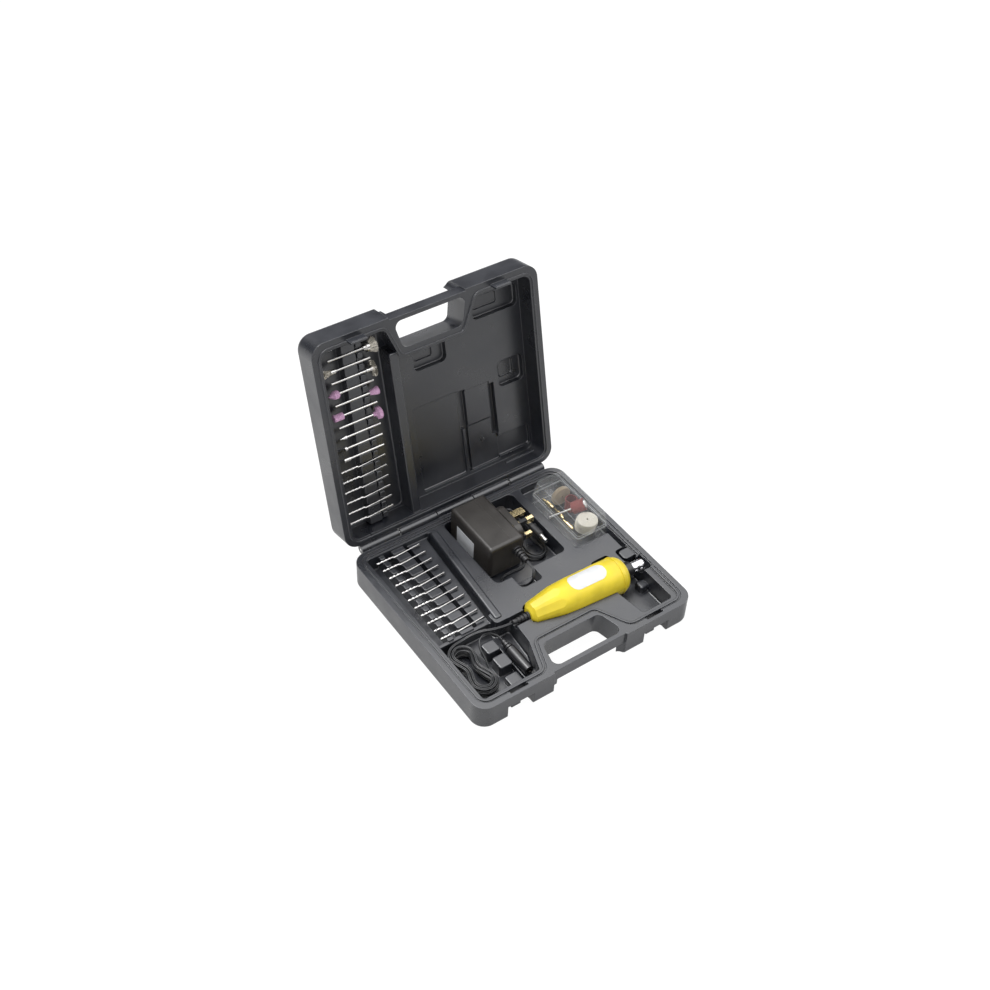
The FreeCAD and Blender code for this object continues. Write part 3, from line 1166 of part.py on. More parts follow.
def make_cords():
    """Both leads: their hanks and the free stretches that join them to what they serve."""
    lead = (size.lead_hank_lobe, size.lead_hank_reach, size.lead_hank_waist)
    power = (size.power_hank_lobe, size.power_hank_reach, size.power_hank_waist)
    wound("tool_lead_hank", (size.lead_hank_x, size.lead_hank_y), size.lead_hank_low, lead,
          size.lead_hank_layers, 0.0, size.lead_hank_turns + lobe_top(lead))
    wound("adapter_lead_hank", (size.power_hank_x, size.power_hank_y), size.power_hank_low,
          power, size.power_hank_layers, left_waist(power),
          size.power_hank_turns + lobe_top(power))
    tail = tool_place()
    relief_end = tail.multVec(Vector(-size.tool_relief_length, 0, 0))
    run_out = tail.multVec(Vector(-size.tool_relief_length - 7.5, 0, 0))
    top = size.lead_hank_low + size.hank_pitch * (size.lead_hank_layers - 1)
    far = size.lead_hank_y + size.lead_hank_reach + size.lead_hank_lobe
    routed("tool_lead", [
        tuple(relief_end), tuple(run_out), (-60.5, -36.5, 26.2), (-69.0, -31.5, 25.2),
        (-79.5, -27.6, 21.4), (-88.5, far, top), (size.lead_hank_x, far, top)])
    right = size.lead_hank_x + size.lead_hank_lobe
    near = size.lead_hank_y - size.lead_hank_reach
    routed("socket_lead", [
        (size.socket_x, size.socket_back, size.socket_height), (-55.8, -42.8, 18.4),
        (-59.0, -37.3, 19.6), (-64.5, -34.1, 21.2), (-70.9, -34.1, 21.6),
        (-76.4, -37.3, 20.4), (-79.5, -42.8, 17.9), (-79.7, -50.0, 14.2),
        (-80.4, -57.6, 10.6), (-82.0, -64.6, 7.9), (right, near + 6.5, size.lead_hank_low),
        (right, near, size.lead_hank_low)])
    left = size.power_hank_x - size.power_hank_waist
    routed("adapter_lead", [
        (size.adapter_relief_x, size.adapter_front - size.adapter_relief_length,
         size.adapter_relief_height),
        (15.9, 8.0, 33.1), (15.7, 2.5, 33.0), (14.3, -1.9, 30.5), (12.1, -4.4, 26.1),
        (9.2, -4.4, 21.1), (5.9, -1.9, 16.8), (2.1, 2.5, 14.3), (-2.5, 7.3, 13.9),
        (-7.2, 11.9, 12.7), (-8.4, 18.2, 10.8), (-5.6, 24.0, 9.3), (-0.5, 27.0, 8.6),
        (5.8, 27.1, 8.5), (13.4, 26.7, 8.5), (21.2, 26.4, 8.5), (26.4, 29.4, 8.5),
        (29.4, 34.6, 8.5), (29.5, 40.2, 8.5), (31.0, 47.2, 8.5), (32.1, 54.0, 8.5),
        (left, 57.8, 8.5), (left, size.power_hank_y, size.power_hank_low)])
    back = size.power_hank_y + size.power_hank_reach + size.power_hank_lobe
    top = size.power_hank_low + size.hank_pitch
    end = size.barrel_tip + size.barrel_contact_length + size.barrel_body_length
    end += size.barrel_tail_length
    routed("barrel_lead", [
        (size.barrel_x, end, size.barrel_height), (56.6, 73.4, 19.9), (57.6, 78.6, 17.4),
        (58.9, 83.2, 13.9), (59.6, 90.0, 12.5), (54.9, 97.7, top), (49.8, back, top),
        (size.power_hank_x, back, top)])


def lobe_top(shape):
    """The share of a turn at which a hank's loop passes the top of its back lobe."""
    return share_at(shape, lambda lobe, side, slant: (
        lobe * (math.pi + slant) + side * 2 * slant + lobe * (math.pi / 2 + slant)))


def left_waist(shape):
    """The share of a turn at which a hank's loop passes its left waist."""
    return share_at(shape, lambda lobe, side, slant: (
        lobe * (math.pi + slant) + side * slant))


def share_at(shape, gone):
    """A distance along a hank's loop as a share of its whole turn."""
    lobe, reach, waist = shape
    side = (waist ** 2 + reach ** 2 - lobe ** 2) / (2 * (lobe - waist))
    slant = math.atan2(reach, waist + side)
    whole = 2 * lobe * (math.pi + 2 * slant) + 4 * side * slant
    return gone(lobe, side, slant) / whole


def make_socket():
    """The in-line socket on the tool's lead: ribbed relief, shell and centre contact."""
    start = size.socket_back - size.socket_relief_length
    relief = ribbed(size.socket_relief_length, size.socket_relief_big,
                    size.socket_relief_small, size.socket_relief_ribs)
    shell = spun([(0, 0), (0, size.socket_radius), (size.socket_length, size.socket_radius),
                  (size.socket_length, size.socket_bore),
                  (size.socket_length - size.socket_depth, size.socket_bore),
                  (size.socket_length - size.socket_depth, 0)])
    relief.Placement = lay(0, 0, 0, X_AXIS * -1)
    whole = shell.fuse(relief)
    place = lay(size.socket_x, start, size.socket_height, Y_AXIS * -1)
    keep(feature("inline_socket", whole), "inline_socket", place)
    base = size.socket_length - size.socket_depth
    pin = spun([(base, 0), (base, size.socket_pin_radius),
                (base + size.socket_pin_length, size.socket_pin_radius),
                (base + size.socket_pin_length, 0)])
    keep(feature("socket_contact", pin), "socket_contact", place)


# Power adapter


def make_adapter_shell():
    """The adapter's case and its cover, hollow and parted upright, with the pins' boss."""
    corner = ("adapter_left", "adapter_front", "adapter_floor")
    extent = ("adapter_width + cover_width", "adapter_length", "adapter_height")
    outer = smoothed("adapter_outer", box("adapter_block", corner, extent),
                     size.adapter_round, lambda edge: True)
    inner = box("adapter_inside", [cell + " + adapter_wall" for cell in corner],
                [text + " - 2 * adapter_wall" for text in extent])
    boss = box("boss_block", ("adapter_left + adapter_width + cover_width - 1", "boss_front",
                              "boss_low"), ("boss_depth + 1", "boss_length", "boss_height"))
    boss = smoothed("boss_rounded", boss, size.boss_round,
                    lambda edge: runs_along(edge, X_AXIS))
    face_x = size.adapter_left + size.adapter_width + size.cover_width + size.boss_depth
    boss = smoothed("boss_eased", boss, 1.6, lambda edge: edge.BoundBox.XMin > face_x - 0.01)
    shell = cut("adapter_shell", joined("adapter_solid", [outer, boss]), inner)
    depth = "boss_depth + 2 * adapter_wall"
    start = "adapter_left + adapter_width + cover_width - 2 * adapter_wall"
    slim = "line_pin_width - 2 * sleeve_wall"
    thin = "pin_thick - 2 * sleeve_wall"
    holes = [box("earth_hole", (start, "line_pin_y + pin_spread - earth_pin_width / 2",
                                "pin_height - pin_thick / 2"),
                 (depth, "earth_pin_width", "pin_thick"))]
    for name, sign in (("live_hole", "+"), ("neutral_hole", "-")):
        low = f"pin_height {sign} pin_spread / 2 - line_pin_width / 2 + sleeve_wall"
        holes.append(box(name, (start, "line_pin_y - pin_thick / 2 + sleeve_wall", low),
                         (depth, thin, slim)))
    holes.append(rod("adapter_lead_hole", ("adapter_relief_x", "adapter_front - 1",
                                           "adapter_relief_height"), "lead_hole_radius",
                     "adapter_wall + 2", Y_AXIS))
    whole = cut("adapter_whole", shell, joined("adapter_holes", holes))
    case_side = box("adapter_case_space", ("adapter_left - 1", "0", "0"),
                    ("adapter_width + 1", "120", "60"))
    cover_side = box("adapter_cover_space", ("adapter_left + adapter_width", "0", "0"),
                     ("60", "120", "60"))
    keep(shared("adapter_case", [whole, case_side]), "adapter_case")
    keep(shared("adapter_cover", [whole, cover_side]), "adapter_cover")


def make_pins():
    """The adapter's three brass pins and the sleeves on the two thin ones."""
    face = "adapter_left + adapter_width + cover_width + boss_depth"
    root = face + " - boss_depth - adapter_wall - pin_inside"
    inside = "boss_depth + adapter_wall + pin_inside"
    earth = box("earth_block", (root, "line_pin_y + pin_spread - earth_pin_width / 2",
                                "pin_height - pin_thick / 2"),
                (inside + " + earth_pin_length", "earth_pin_width", "pin_thick"))
    earth_tip = tip_test(size.earth_pin_length)
    keep(smoothed("earth_pin", earth, 1.3, earth_tip), "earth_pin")
    pins, sleeves = [], []
    for name, sign in (("live", "+"), ("neutral", "-")):
        middle = f"pin_height {sign} pin_spread / 2"
        stem = box(name + "_stem", (root, "line_pin_y - pin_thick / 2 + sleeve_wall",
                                    middle + " - line_pin_width / 2 + sleeve_wall"),
                   (inside + " + sleeve_length", "pin_thick - 2 * sleeve_wall",
                    "line_pin_width - 2 * sleeve_wall"))
        blade = box(name + "_blade", (face + " + sleeve_length", "line_pin_y - pin_thick / 2",
                                      middle + " - line_pin_width / 2"),
                    ("line_pin_length - sleeve_length", "pin_thick", "line_pin_width"))
        blade = smoothed(name + "_tip", blade, 1.2, tip_test(size.line_pin_length))
        pins.append(joined(name + "_pin", [stem, blade]))
        skin = box(name + "_skin", (face, "line_pin_y - pin_thick / 2",
                                    middle + " - line_pin_width / 2"),
                   ("sleeve_length", "pin_thick", "line_pin_width"))
        sleeves.append(cut(name + "_sleeve", skin, stem))
    keep(group("line_pins", pins), "line_pins")
    keep(group("pin_sleeves", sleeves), "pin_sleeves")


def tip_test(length):
    """A test for the edges at a pin's tip."""
    face = size.adapter_left + size.adapter_width + size.cover_width + size.boss_depth
    return lambda edge: edge.BoundBox.XMin > face + length - 0.01


def make_adapter_inside():
    """The transformer's core and winding, and the rectifier's board with its parts."""
    low = "adapter_floor + (adapter_height - core_height) / 2"
    core = box("core_block", ("core_x", "core_y", low),
               ("core_width", "core_span", "core_height"))
    window_y = "core_y + (core_span - window_span) / 2"
    middle = "adapter_floor + adapter_height / 2"
    windows = joined("core_windows", [
        box("window_over", ("core_x - 1", window_y, middle + " + leg_height / 2"),
            ("core_width + 2", "window_span", "window_height")),
        box("window_under", ("core_x - 1", window_y,
                             middle + " - leg_height / 2 - window_height"),
            ("core_width + 2", "window_span", "window_height"))])
    core = cut("transformer_core", core, windows)
    keep(core, "transformer_core")
    winding = box("winding_block", ("core_x - winding_swell", window_y + " + 0.2",
                                    middle + " - leg_height / 2 - window_height + 0.2"),
                  ("core_width + 2 * winding_swell", "window_span - 0.4",
                   "leg_height + 2 * window_height - 0.4"))
    winding = smoothed("winding_rounded", winding, 3.0, lambda edge: runs_along(edge, Y_AXIS))
    leg = box("winding_leg", ("core_x", window_y, middle + " - leg_height / 2"),
              ("core_width", "window_span", "leg_height"))
    keep(cut("transformer_winding", winding, leg), "transformer_winding")
    board = box("rectifier_board", ("board_x", "board_y", "board_low"),
                ("board_width", "board_thick", "board_height"))
    keep(board, "rectifier_board")
    face = "board_y + board_thick"
    parts = [rod("smoothing_capacitor", ("board_x + 21", face, "board_low + 19"), "5", "13",
                 Y_AXIS)]
    for number in range(4):
        parts.append(rod(f"diode_{number}", ("board_x + 3", face + " + 1.4",
                                             f"board_low + {4 + 6 * number}"), "1.4", "7",
                         X_AXIS))
    keep(group("rectifier_parts", parts), "rectifier_parts")
    plate = box("adapter_label", ("adapter_left - plate_thick", "plate_front", "plate_low"),
                ("plate_thick", "plate_length", "plate_height"))
    keep(plate, "adapter_label")
    relief = ribbed(size.adapter_relief_length, size.adapter_relief_big,
                    size.adapter_relief_small, size.adapter_relief_ribs,
                    size.adapter_wall, size.relief_anchor)
    place = lay(size.adapter_relief_x, size.adapter_front, size.adapter_relief_height,
                Y_AXIS * -1)
    keep(feature("adapter_strain_relief", relief), "adapter_strain_relief", place)


def make_barrel_plug():
    """The plug on the adapter's lead: its barrel and its moulded body."""
    place = lay(size.barrel_x, size.barrel_tip, size.barrel_height, Y_AXIS)
    end = size.barrel_contact_length
    ring = spun([(0, size.barrel_contact_bore), (0, size.barrel_contact_radius),
                 (end, size.barrel_contact_radius), (end, size.barrel_contact_bore)])
    keep(feature("barrel_plug_contact", ring), "barrel_plug_contact", place)
    shoulder = end + size.barrel_body_length
    tail = shoulder + size.barrel_tail_length
    body = spun([(end, 0), (end, size.barrel_body_radius - 0.6),
                 (end + 0.6, size.barrel_body_radius), (shoulder - 1.2, size.barrel_body_radius),
                 (shoulder, size.barrel_tail_radius + 0.4), (shoulder, size.barrel_tail_radius),
                 (tail, size.barrel_tail_radius * 0.8), (tail, 0)])
    keep(feature("barrel_plug_body", body), "barrel_plug_body", place)


# Accessory box


def make_accessory_box():
    """The clear box: a tray with a stepped lip, and the drafted lid that sits on it."""
    corner, extent = ("box_left", "box_front"), ("box_width", "box_length")

    def slab(name, inset, low, top):
        piece = box(name, (*[f"{cell} + {inset}" for cell in corner], low),
                    (*[f"{cell} - 2 * {inset}" for cell in extent], f"{top} - ({low})"))
        radius = size.box_corner - SIZES.get(inset, 0.0)
        return smoothed(name + "_rounded", piece, radius,
                        lambda edge: runs_along(edge, Z_AXIS))

    def drafted(inset, low, top):
        wires = []
        for height in (low, size.box_collar, top):
            above = max(height - size.box_collar, 0) / (size.box_top - size.box_collar)
            within = inset + size.box_draft * above
            sides = oblong(size.box_left + within, size.box_left + size.box_width - within,
                           size.box_front + within,
                           size.box_front + size.box_length - within)
            wires.append(outline(sides, size.box_corner - inset, height))
        return Part.makeLoft(wires, True, True)

    tray = cut("accessory_tray",
               joined("tray_solid", [
                   slab("tray_outer", "0", "box_floor", "box_seam"),
                   slab("tray_lip", "lip_inset", "box_seam - 1", "box_seam + box_lip")]),
               slab("tray_inside", "tray_wall", "box_floor + box_lid_wall",
                    "box_top"))
    keep(tray, "accessory_tray")
    wall = size.box_lid_wall
    outer = drafted(0.0, size.box_seam, size.box_top)
    outer = outer.makeFillet(size.box_top_round,
                             [edge for edge in outer.Edges if level(edge, size.box_top)])
    inner = drafted(wall, size.box_seam - 1, size.box_top - wall)
    keep(cut("accessory_lid", feature("lid_outer", outer), feature("lid_inside", inner)),
         "accessory_lid")


def make_box_contents():
    """What the clear box holds: brass spares, sanding drums, a mandrel, felt wheels."""
    low = size.box_floor + size.box_lid_wall + size.rest_gap
    stem, ahead = size.spare_stem, size.spare_length + size.spare_point
    spare = [(0, 0), (0, stem), (6, stem), (6, size.spare_radius),
             (size.spare_length, size.spare_radius), (ahead, stem), (ahead, 0)]
    spares = []
    for x, y, lean in ((89.6, 84.5, 0.10), (91.4, 66.0, -0.05), (88.8, 48.5, 0.05)):
        piece = spun(spare)
        piece.Placement = lay(x, y, low + size.spare_radius, Vector(lean, -1, 0))
        spares.append(piece)
    keep(feature("brass_spares", Part.makeCompound(spares)), "brass_spares")
    length, bore = size.drum_length, size.drum_bore
    upright = lay(107.3, 59.8, low, Z_AXIS)
    leaning = lay(99.2, 47.3, 33.1, Vector(0.731, -0.474, 0.4925))
    sleeves = []
    for place in (upright, leaning):
        sleeve = spun([(0, bore), (0, size.drum_radius), (length, size.drum_radius),
                       (length, bore)])
        sleeve.Placement = place
        sleeves.append(sleeve)
    keep(feature("sanding_sleeves", Part.makeCompound(sleeves)), "sanding_sleeves")
    rubber = spun([(0, size.shank_radius), (0, bore), (length, bore),
                   (length, size.shank_radius)])
    keep(feature("drum_rubber", rubber), "drum_rubber", leaning)
    tail, head, thick = -size.mandrel_shank, size.mandrel_head, size.mandrel_head_thick
    mandrel = spun([(tail, 0), (tail, size.shank_radius), (length, size.shank_radius),
                    (length, head), (length + thick, head - 0.4), (length + thick, 0)])
    keep(feature("drum_mandrel", mandrel), "drum_mandrel", leaning)
    wheel = [(0, size.wheel_bore), (0, size.wheel_radius),
             (size.wheel_thick, size.wheel_radius), (size.wheel_thick, size.wheel_bore)]
    keep(feature("felt_disc", spun(wheel)), "felt_disc",
         lay(102.8, 69.6, low + size.wheel_radius, Y_AXIS))
    wheels = []
    for number, (x, y) in enumerate(((102.9, 29.0), (102.6, 28.0), (102.2, 26.0))):
        piece = spun(wheel)
        piece.Placement = lay(x, y, low + number * size.wheel_pitch, Z_AXIS)
        wheels.append(piece)
    keep(feature("felt_wheels", Part.makeCompound(wheels)), "felt_wheels")


def write_parts():
    """Checks every object, then writes each sub-part's shape to its file."""
    document.recompute()
    for thing in document.Objects:
        if {"Invalid", "Error"} & set(thing.State):
            raise RuntimeError(f"{thing.Name} failed")
    os.makedirs("parts", exist_ok=True)
    for thing in SUB_PARTS:
        if thing.Shape.isNull() or not thing.Shape.isValid():
            raise RuntimeError(f"{thing.Label} isn't a valid shape")
        bounds = thing.Shape.BoundBox
        print(f"{thing.Label}: {len(thing.Shape.Solids)} solids, {thing.Shape.Volume:.1f} mm3,"
              f" x {bounds.XMin:.1f} {bounds.XMax:.1f} y {bounds.YMin:.1f} {bounds.YMax:.1f}"
              f" z {bounds.ZMin:.1f} {bounds.ZMax:.1f}")
        thing.Shape.exportStep(f"parts/{thing.Label}.step")
    print(len(SUB_PARTS), "sub-parts")


make_case_base()
make_case_lid()
make_hinge_pin()
make_base_drills()
make_lid_bits()
make_housing()
make_nose()
make_bearing()
make_motor()
make_rotor()
make_tool_trim()
make_cords()
make_socket()
make_adapter_shell()
make_pins()
make_adapter_inside()
make_barrel_plug()
make_accessory_box()
make_box_contents()
write_parts()
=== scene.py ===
"""Looks of a mini rotary tool kit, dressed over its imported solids.
"""
from __future__ import annotations

import logging
import math
from collections.abc import Iterable, Sequence
from dataclasses import dataclass, field
from enum import Enum

import bmesh
import bpy
from bpy.types import Mesh, Object
from mathutils import Matrix, Vector, noise

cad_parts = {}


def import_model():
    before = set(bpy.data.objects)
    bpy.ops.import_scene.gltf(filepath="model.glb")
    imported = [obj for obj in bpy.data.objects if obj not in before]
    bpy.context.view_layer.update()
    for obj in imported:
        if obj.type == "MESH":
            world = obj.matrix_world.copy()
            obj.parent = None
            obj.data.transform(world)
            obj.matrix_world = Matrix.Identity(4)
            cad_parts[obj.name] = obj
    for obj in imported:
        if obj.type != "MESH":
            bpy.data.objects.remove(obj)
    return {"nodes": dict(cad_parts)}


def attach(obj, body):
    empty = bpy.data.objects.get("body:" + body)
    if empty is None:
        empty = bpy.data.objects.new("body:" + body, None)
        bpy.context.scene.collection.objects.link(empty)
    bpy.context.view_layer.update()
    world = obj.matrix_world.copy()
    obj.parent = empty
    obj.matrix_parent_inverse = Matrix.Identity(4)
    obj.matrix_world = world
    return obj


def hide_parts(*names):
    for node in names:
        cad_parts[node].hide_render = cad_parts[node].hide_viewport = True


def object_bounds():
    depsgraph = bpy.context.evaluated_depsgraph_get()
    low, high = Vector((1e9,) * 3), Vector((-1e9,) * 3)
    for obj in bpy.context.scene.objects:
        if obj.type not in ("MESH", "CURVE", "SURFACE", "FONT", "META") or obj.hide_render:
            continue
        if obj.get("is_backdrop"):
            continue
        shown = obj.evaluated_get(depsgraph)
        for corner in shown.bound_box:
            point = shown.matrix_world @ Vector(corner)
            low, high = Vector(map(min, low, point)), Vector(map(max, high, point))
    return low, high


LOG = logging.getLogger("rotary_tool_kit")
MM = 0.001

Triple = tuple[float, float, float]
Socket = bpy.types.NodeSocket

# A turned piece is roughened by two noises, each of a scale per millimetre and a share, and
# less along its axis than outward. Its faces look smooth where they bend by fewer degrees.
STRAYS = ((0.9, 1.0), (2.7, 0.6))
STRAY_ALONG = 0.4
SMOOTH_WITHIN = 35.0


class Body(str, Enum):
    """The rigid bodies that new pieces ride on."""

    BASE = "base"
    LID = "lid"
    TOOL = "tool"
    ADAPTER = "adapter"
    BOX = "box"


class Way(Enum):
    """Which way a bit's head points along X."""

    LEFT = -1.0
    RIGHT = 1.0


class Wiring:
    """A node tree under construction."""

    def __init__(self, tree: bpy.types.NodeTree) -> None:
        """Starts on the tree that nodes are added to."""
        self.tree = tree

    def add(self, kind: str, inputs: dict[str | int, object] | None = None,
            **settings: object) -> bpy.types.Node:
        """Adds a node and fills or joins its inputs.

        Args:
            kind: The node's type.
            inputs: Values, or output sockets, by input name or number.
            settings: The node's own properties.

        Returns:
            The new node.
        """
        node = self.tree.nodes.new(kind)
        for name, value in settings.items():
            setattr(node, name, value)
        for name, value in (inputs or {}).items():
            if isinstance(value, Socket):
                self.tree.links.new(value, node.inputs[name])
            else:
                node.inputs[name].default_value = value
        return node

    def maths(self, operation: str, *values: object, clamp: bool = False) -> Socket:
        """Adds one step of arithmetic and returns its result's socket."""
        node = self.add("ShaderNodeMath", dict(enumerate(values)), operation=operation,
                        use_clamp=clamp)
        return node.outputs[0]

    def range(self, value: Socket, low: float, high: float,
              start: float = 0.0, end: float = 1.0) -> Socket:
        """Returns a value mapped from one range to another, smoothly and clamped."""
        node = self.add("ShaderNodeMapRange", {
            "Value": value, "From Min": low, "From Max": high, "To Min": start,
            "To Max": end}, interpolation_type="SMOOTHSTEP")
        return node.outputs["Result"]


class Paint(Wiring):
    """A material under construction, round its main shader."""

    def __init__(self, name: str) -> None:
        """Starts a material of a given name."""
        self.material = bpy.data.materials.new(name)
        self.material.use_nodes = True
        super().__init__(self.material.node_tree)
        self.shader = self.tree.nodes["Principled BSDF"]
        self.place = self.add("ShaderNodeTexCoord").outputs["Object"]

    def set(self, **values: object) -> None:
        """Sets or joins the main shader's inputs; two underscores stand for a space."""
        for name, value in values.items():
            socket = self.shader.inputs[name.replace("__", " ")]
            if isinstance(value, Socket):
                self.tree.links.new(value, socket)
            else:
                socket.default_value = value

    def noise(self, scale: float, detail: float = 2.0, rough: float = 0.5,
              place: Socket | None = None) -> Socket:
        """Returns the factor of a noise of a given scale per metre."""
        node = self.add("ShaderNodeTexNoise", {
            "Vector": place or self.place, "Scale": scale, "Detail": detail,
            "Roughness": rough})
        return node.outputs["Fac"]

    def stretched(self, scale: Triple, turn: Triple = (0.0, 0.0, 0.0)) -> Socket:
        """Returns the object's coordinates, turned and stretched."""
        node = self.add("ShaderNodeMapping", {"Vector": self.place, "Scale": scale,
                                              "Rotation": turn})
        return node.outputs["Vector"]

    def blend(self, factor: object, one: Sequence[float] | Socket,
              other: Sequence[float] | Socket) -> Socket:
        """Returns a blend of two colours."""
        node = self.add("ShaderNodeMix", {0: factor}, data_type="RGBA")
        for socket, value in ((node.inputs[6], one), (node.inputs[7], other)):
            if isinstance(value, Socket):
                self.tree.links.new(value, socket)
            else:
                socket.default_value = (*value[:3], 1.0)
        return node.outputs[2]

    def rounded(self, radius: float) -> Socket:
        """Returns a normal that rounds edges to a radius in metres."""
        return self.add("ShaderNodeBevel", {"Radius": radius}, samples=6).outputs["Normal"]

    def edges(self, radius: float, level: float, bent: float,
              most: float) -> tuple[Socket, Socket]:
        """Returns a normal that rounds edges, and a share that grows from 0 to most on them."""
        soft = self.rounded(radius)
        plain = self.add("ShaderNodeNewGeometry").outputs["Normal"]
        agreement = self.add("ShaderNodeVectorMath", {0: soft, 1: plain},
                             operation="DOT_PRODUCT").outputs["Value"]
        return soft, self.range(agreement, level, bent, 0.0, most)

    def bump(self, height: Socket, strength: float, distance: float,
             normal: Socket | None = None) -> Socket:
        """Returns a normal with a height pressed into it."""
        inputs: dict[str | int, object] = {
            "Height": height, "Strength": strength, "Distance": distance}
        if normal is not None:
            inputs["Normal"] = normal
        return self.add("ShaderNodeBump", inputs).outputs["Normal"]


@dataclass(frozen=True)
class Finish:
    """A finish: the record's slot that it belongs to, its colour and its sheen."""

    name: str
    slot: str
    colour: Triple
    roughness: float = 0.5

    def dress(self, paint: Paint) -> None:
        """Wires the finish; each kind of finish has its own way."""
        paint.set(Base__Color=(*self.colour, 1.0), Roughness=self.roughness)

    def material(self) -> bpy.types.Material:
        """Returns the finish's material, made on first use."""
        name = f"look_{self.name}"
        known = bpy.data.materials.get(name)
        if known is not None:
            return known
        paint = Paint(name)
        self.dress(paint)
        return paint.material


@dataclass(frozen=True)
class Moulded(Finish):
    """Moulded plastic: a fine spark-eroded grain, uneven sheen and softened edges."""

    grain: float = 2600.0
    depth: float = 0.00004
    edge: float = 0.0004
    edge_wear_and_highlight: float = 0.35
    dust: float = 0.25
    gloss: float = 0.5
    seam: float | None = None

    def dress(self, paint: Paint) -> None:
        """Wires grain, paler edges that are partly wear and partly a painted highlight, and the
        seam's shallow groove if there is one.
        """
        fine = paint.noise(self.grain, 3.0, 0.6)
        broad = paint.noise(28.0, 3.0, 0.55)
        # Edges blend toward the pale colour by this share: partly wear, partly a painted
        # highlight.
        soft, rim = paint.edges(self.edge, 0.995, 0.80, self.edge_wear_and_highlight)
        pale = tuple(min(1.0, part * 2.2 + 0.03) for part in self.colour)
        dark = tuple(part * 0.82 for part in self.colour)
        cloudy = paint.blend(paint.range(broad, 0.35, 0.68), dark, self.colour)
        dusty = paint.blend(paint.range(fine, 0.5, 0.75, 0.0, self.dust), cloudy, pale)
        colour = paint.blend(rim, dusty, pale)
        height = fine
        if self.seam is not None:
            upright = paint.add("ShaderNodeSeparateXYZ", {0: paint.place}).outputs["Z"]
            off = paint.maths("ABSOLUTE", paint.maths("SUBTRACT", upright, self.seam))
            line = paint.range(off, 0.00006, 0.00022)
            colour = paint.blend(line, tuple(part * 0.35 for part in self.colour), colour)
            height = paint.maths("MULTIPLY", fine, line)
        paint.set(
            Base__Color=colour, Specular__IOR__Level=self.gloss,
            Roughness=paint.range(broad, 0.3, 0.7, self.roughness - 0.05, self.roughness + 0.07),
            Normal=paint.bump(height, 0.6, self.depth, soft))


@dataclass(frozen=True)
class Metal(Finish):
    """Metal with fine marks along one direction and faint stains."""

    along: Triple = (60.0, 2400.0, 2400.0)
    marks: float = 0.00001
    edge: float = 0.00015
    stain: Triple = (0.3, 0.28, 0.26)

    def dress(self, paint: Paint) -> None:
        """Wires marks, stains and softened edges."""
        lines = paint.noise(1.0, 3.0, 0.6, paint.stretched(self.along))
        blotch = paint.noise(260.0, 4.0, 0.6)
        colour = paint.blend(paint.range(blotch, 0.55, 0.8, 0.0, 0.35), self.colour, self.stain)
        rough = paint.range(lines, 0.3, 0.7, self.roughness - 0.06, self.roughness + 0.08)
        paint.set(Base__Color=colour, Metallic=1.0, Roughness=rough,
                  Normal=paint.bump(lines, 0.4, self.marks, paint.rounded(self.edge)))


@dataclass(frozen=True)
class Granular(Finish):
    """Bonded grit, such as a grinding stone or sanding cloth."""

    grit: float = 5200.0
    speck: Triple = (0.9, 0.8, 0.88)

    def dress(self, paint: Paint) -> None:
        """Wires grains of two sizes."""
        grains = paint.add("ShaderNodeTexVoronoi", {
            "Vector": paint.place, "Scale": self.grit}).outputs["Distance"]
        clumps = paint.noise(self.grit / 6, 3.0, 0.6)
        colour = paint.blend(paint.range(grains, 0.15, 0.6), self.colour, self.speck)
        dull = tuple(part * 0.7 for part in self.colour)
        colour = paint.blend(paint.range(clumps, 0.62, 0.4, 0.0, 0.6), colour, dull)
        height = paint.maths("ADD", grains, clumps)
        paint.set(Base__Color=colour, Roughness=self.roughness,
                  Normal=paint.bump(height, 0.9, 0.00008))


@dataclass(frozen=True)
class Felt(Finish):
    """Pressed wool felt: short tangled fibres with a soft sheen."""

    def dress(self, paint: Paint) -> None:
        """Wires tangled fibres of two directions."""
        one = paint.stretched((900.0, 5200.0, 2600.0), (0.4, 0.8, 0.2))
        other = paint.stretched((4800.0, 1100.0, 2500.0), (0.2, 0.1, 0.9))
        both = paint.maths("MULTIPLY", *(paint.noise(1.0, 4.0, 0.7, way) for way in (one, other)))
        shade = tuple(part * 0.72 for part in self.colour)
        colour = paint.blend(paint.range(both, 0.16, 0.36), shade, self.colour)
        paint.set(Base__Color=colour, Roughness=self.roughness, Sheen__Weight=0.35,
                  Normal=paint.bump(both, 1.0, 0.00025))


@dataclass(frozen=True)
class Clear(Finish):
    """Clear styrene: see-through, glossy, a little scratched."""

    alpha: float = 0.02
    aslant: float = 0.14
    edge: float = 0.75
    radius: float = 0.0005

    def dress(self, paint: Paint) -> None:
        """Wires a see-through surface whose white shows more at its edges and when seen aslant,
        as a painted reflection and painted edge glints.
        """
        along = paint.stretched((500.0, 4200.0, 800.0), (0.3, 0.2, 0.7))
        scratch = paint.noise(1.0, 4.0, 0.7, along)
        # More white when seen aslant and at edges: a painted reflection and painted edge glints.
        aslant = paint.add("ShaderNodeLayerWeight", {"Blend": 0.28}).outputs["Facing"]
        soft, rim = paint.edges(self.radius, 0.999, 0.86, self.edge)
        alpha = paint.maths("ADD", paint.range(aslant, 0.0, 1.0, self.alpha, self.aslant), rim,
                            clamp=True)
        paint.set(Base__Color=(*self.colour, 1.0), Alpha=alpha,
                  Roughness=paint.range(scratch, 0.4, 0.75, self.roughness, self.roughness + 0.1),
                  Normal=paint.bump(scratch, 0.15, 0.00002, soft))


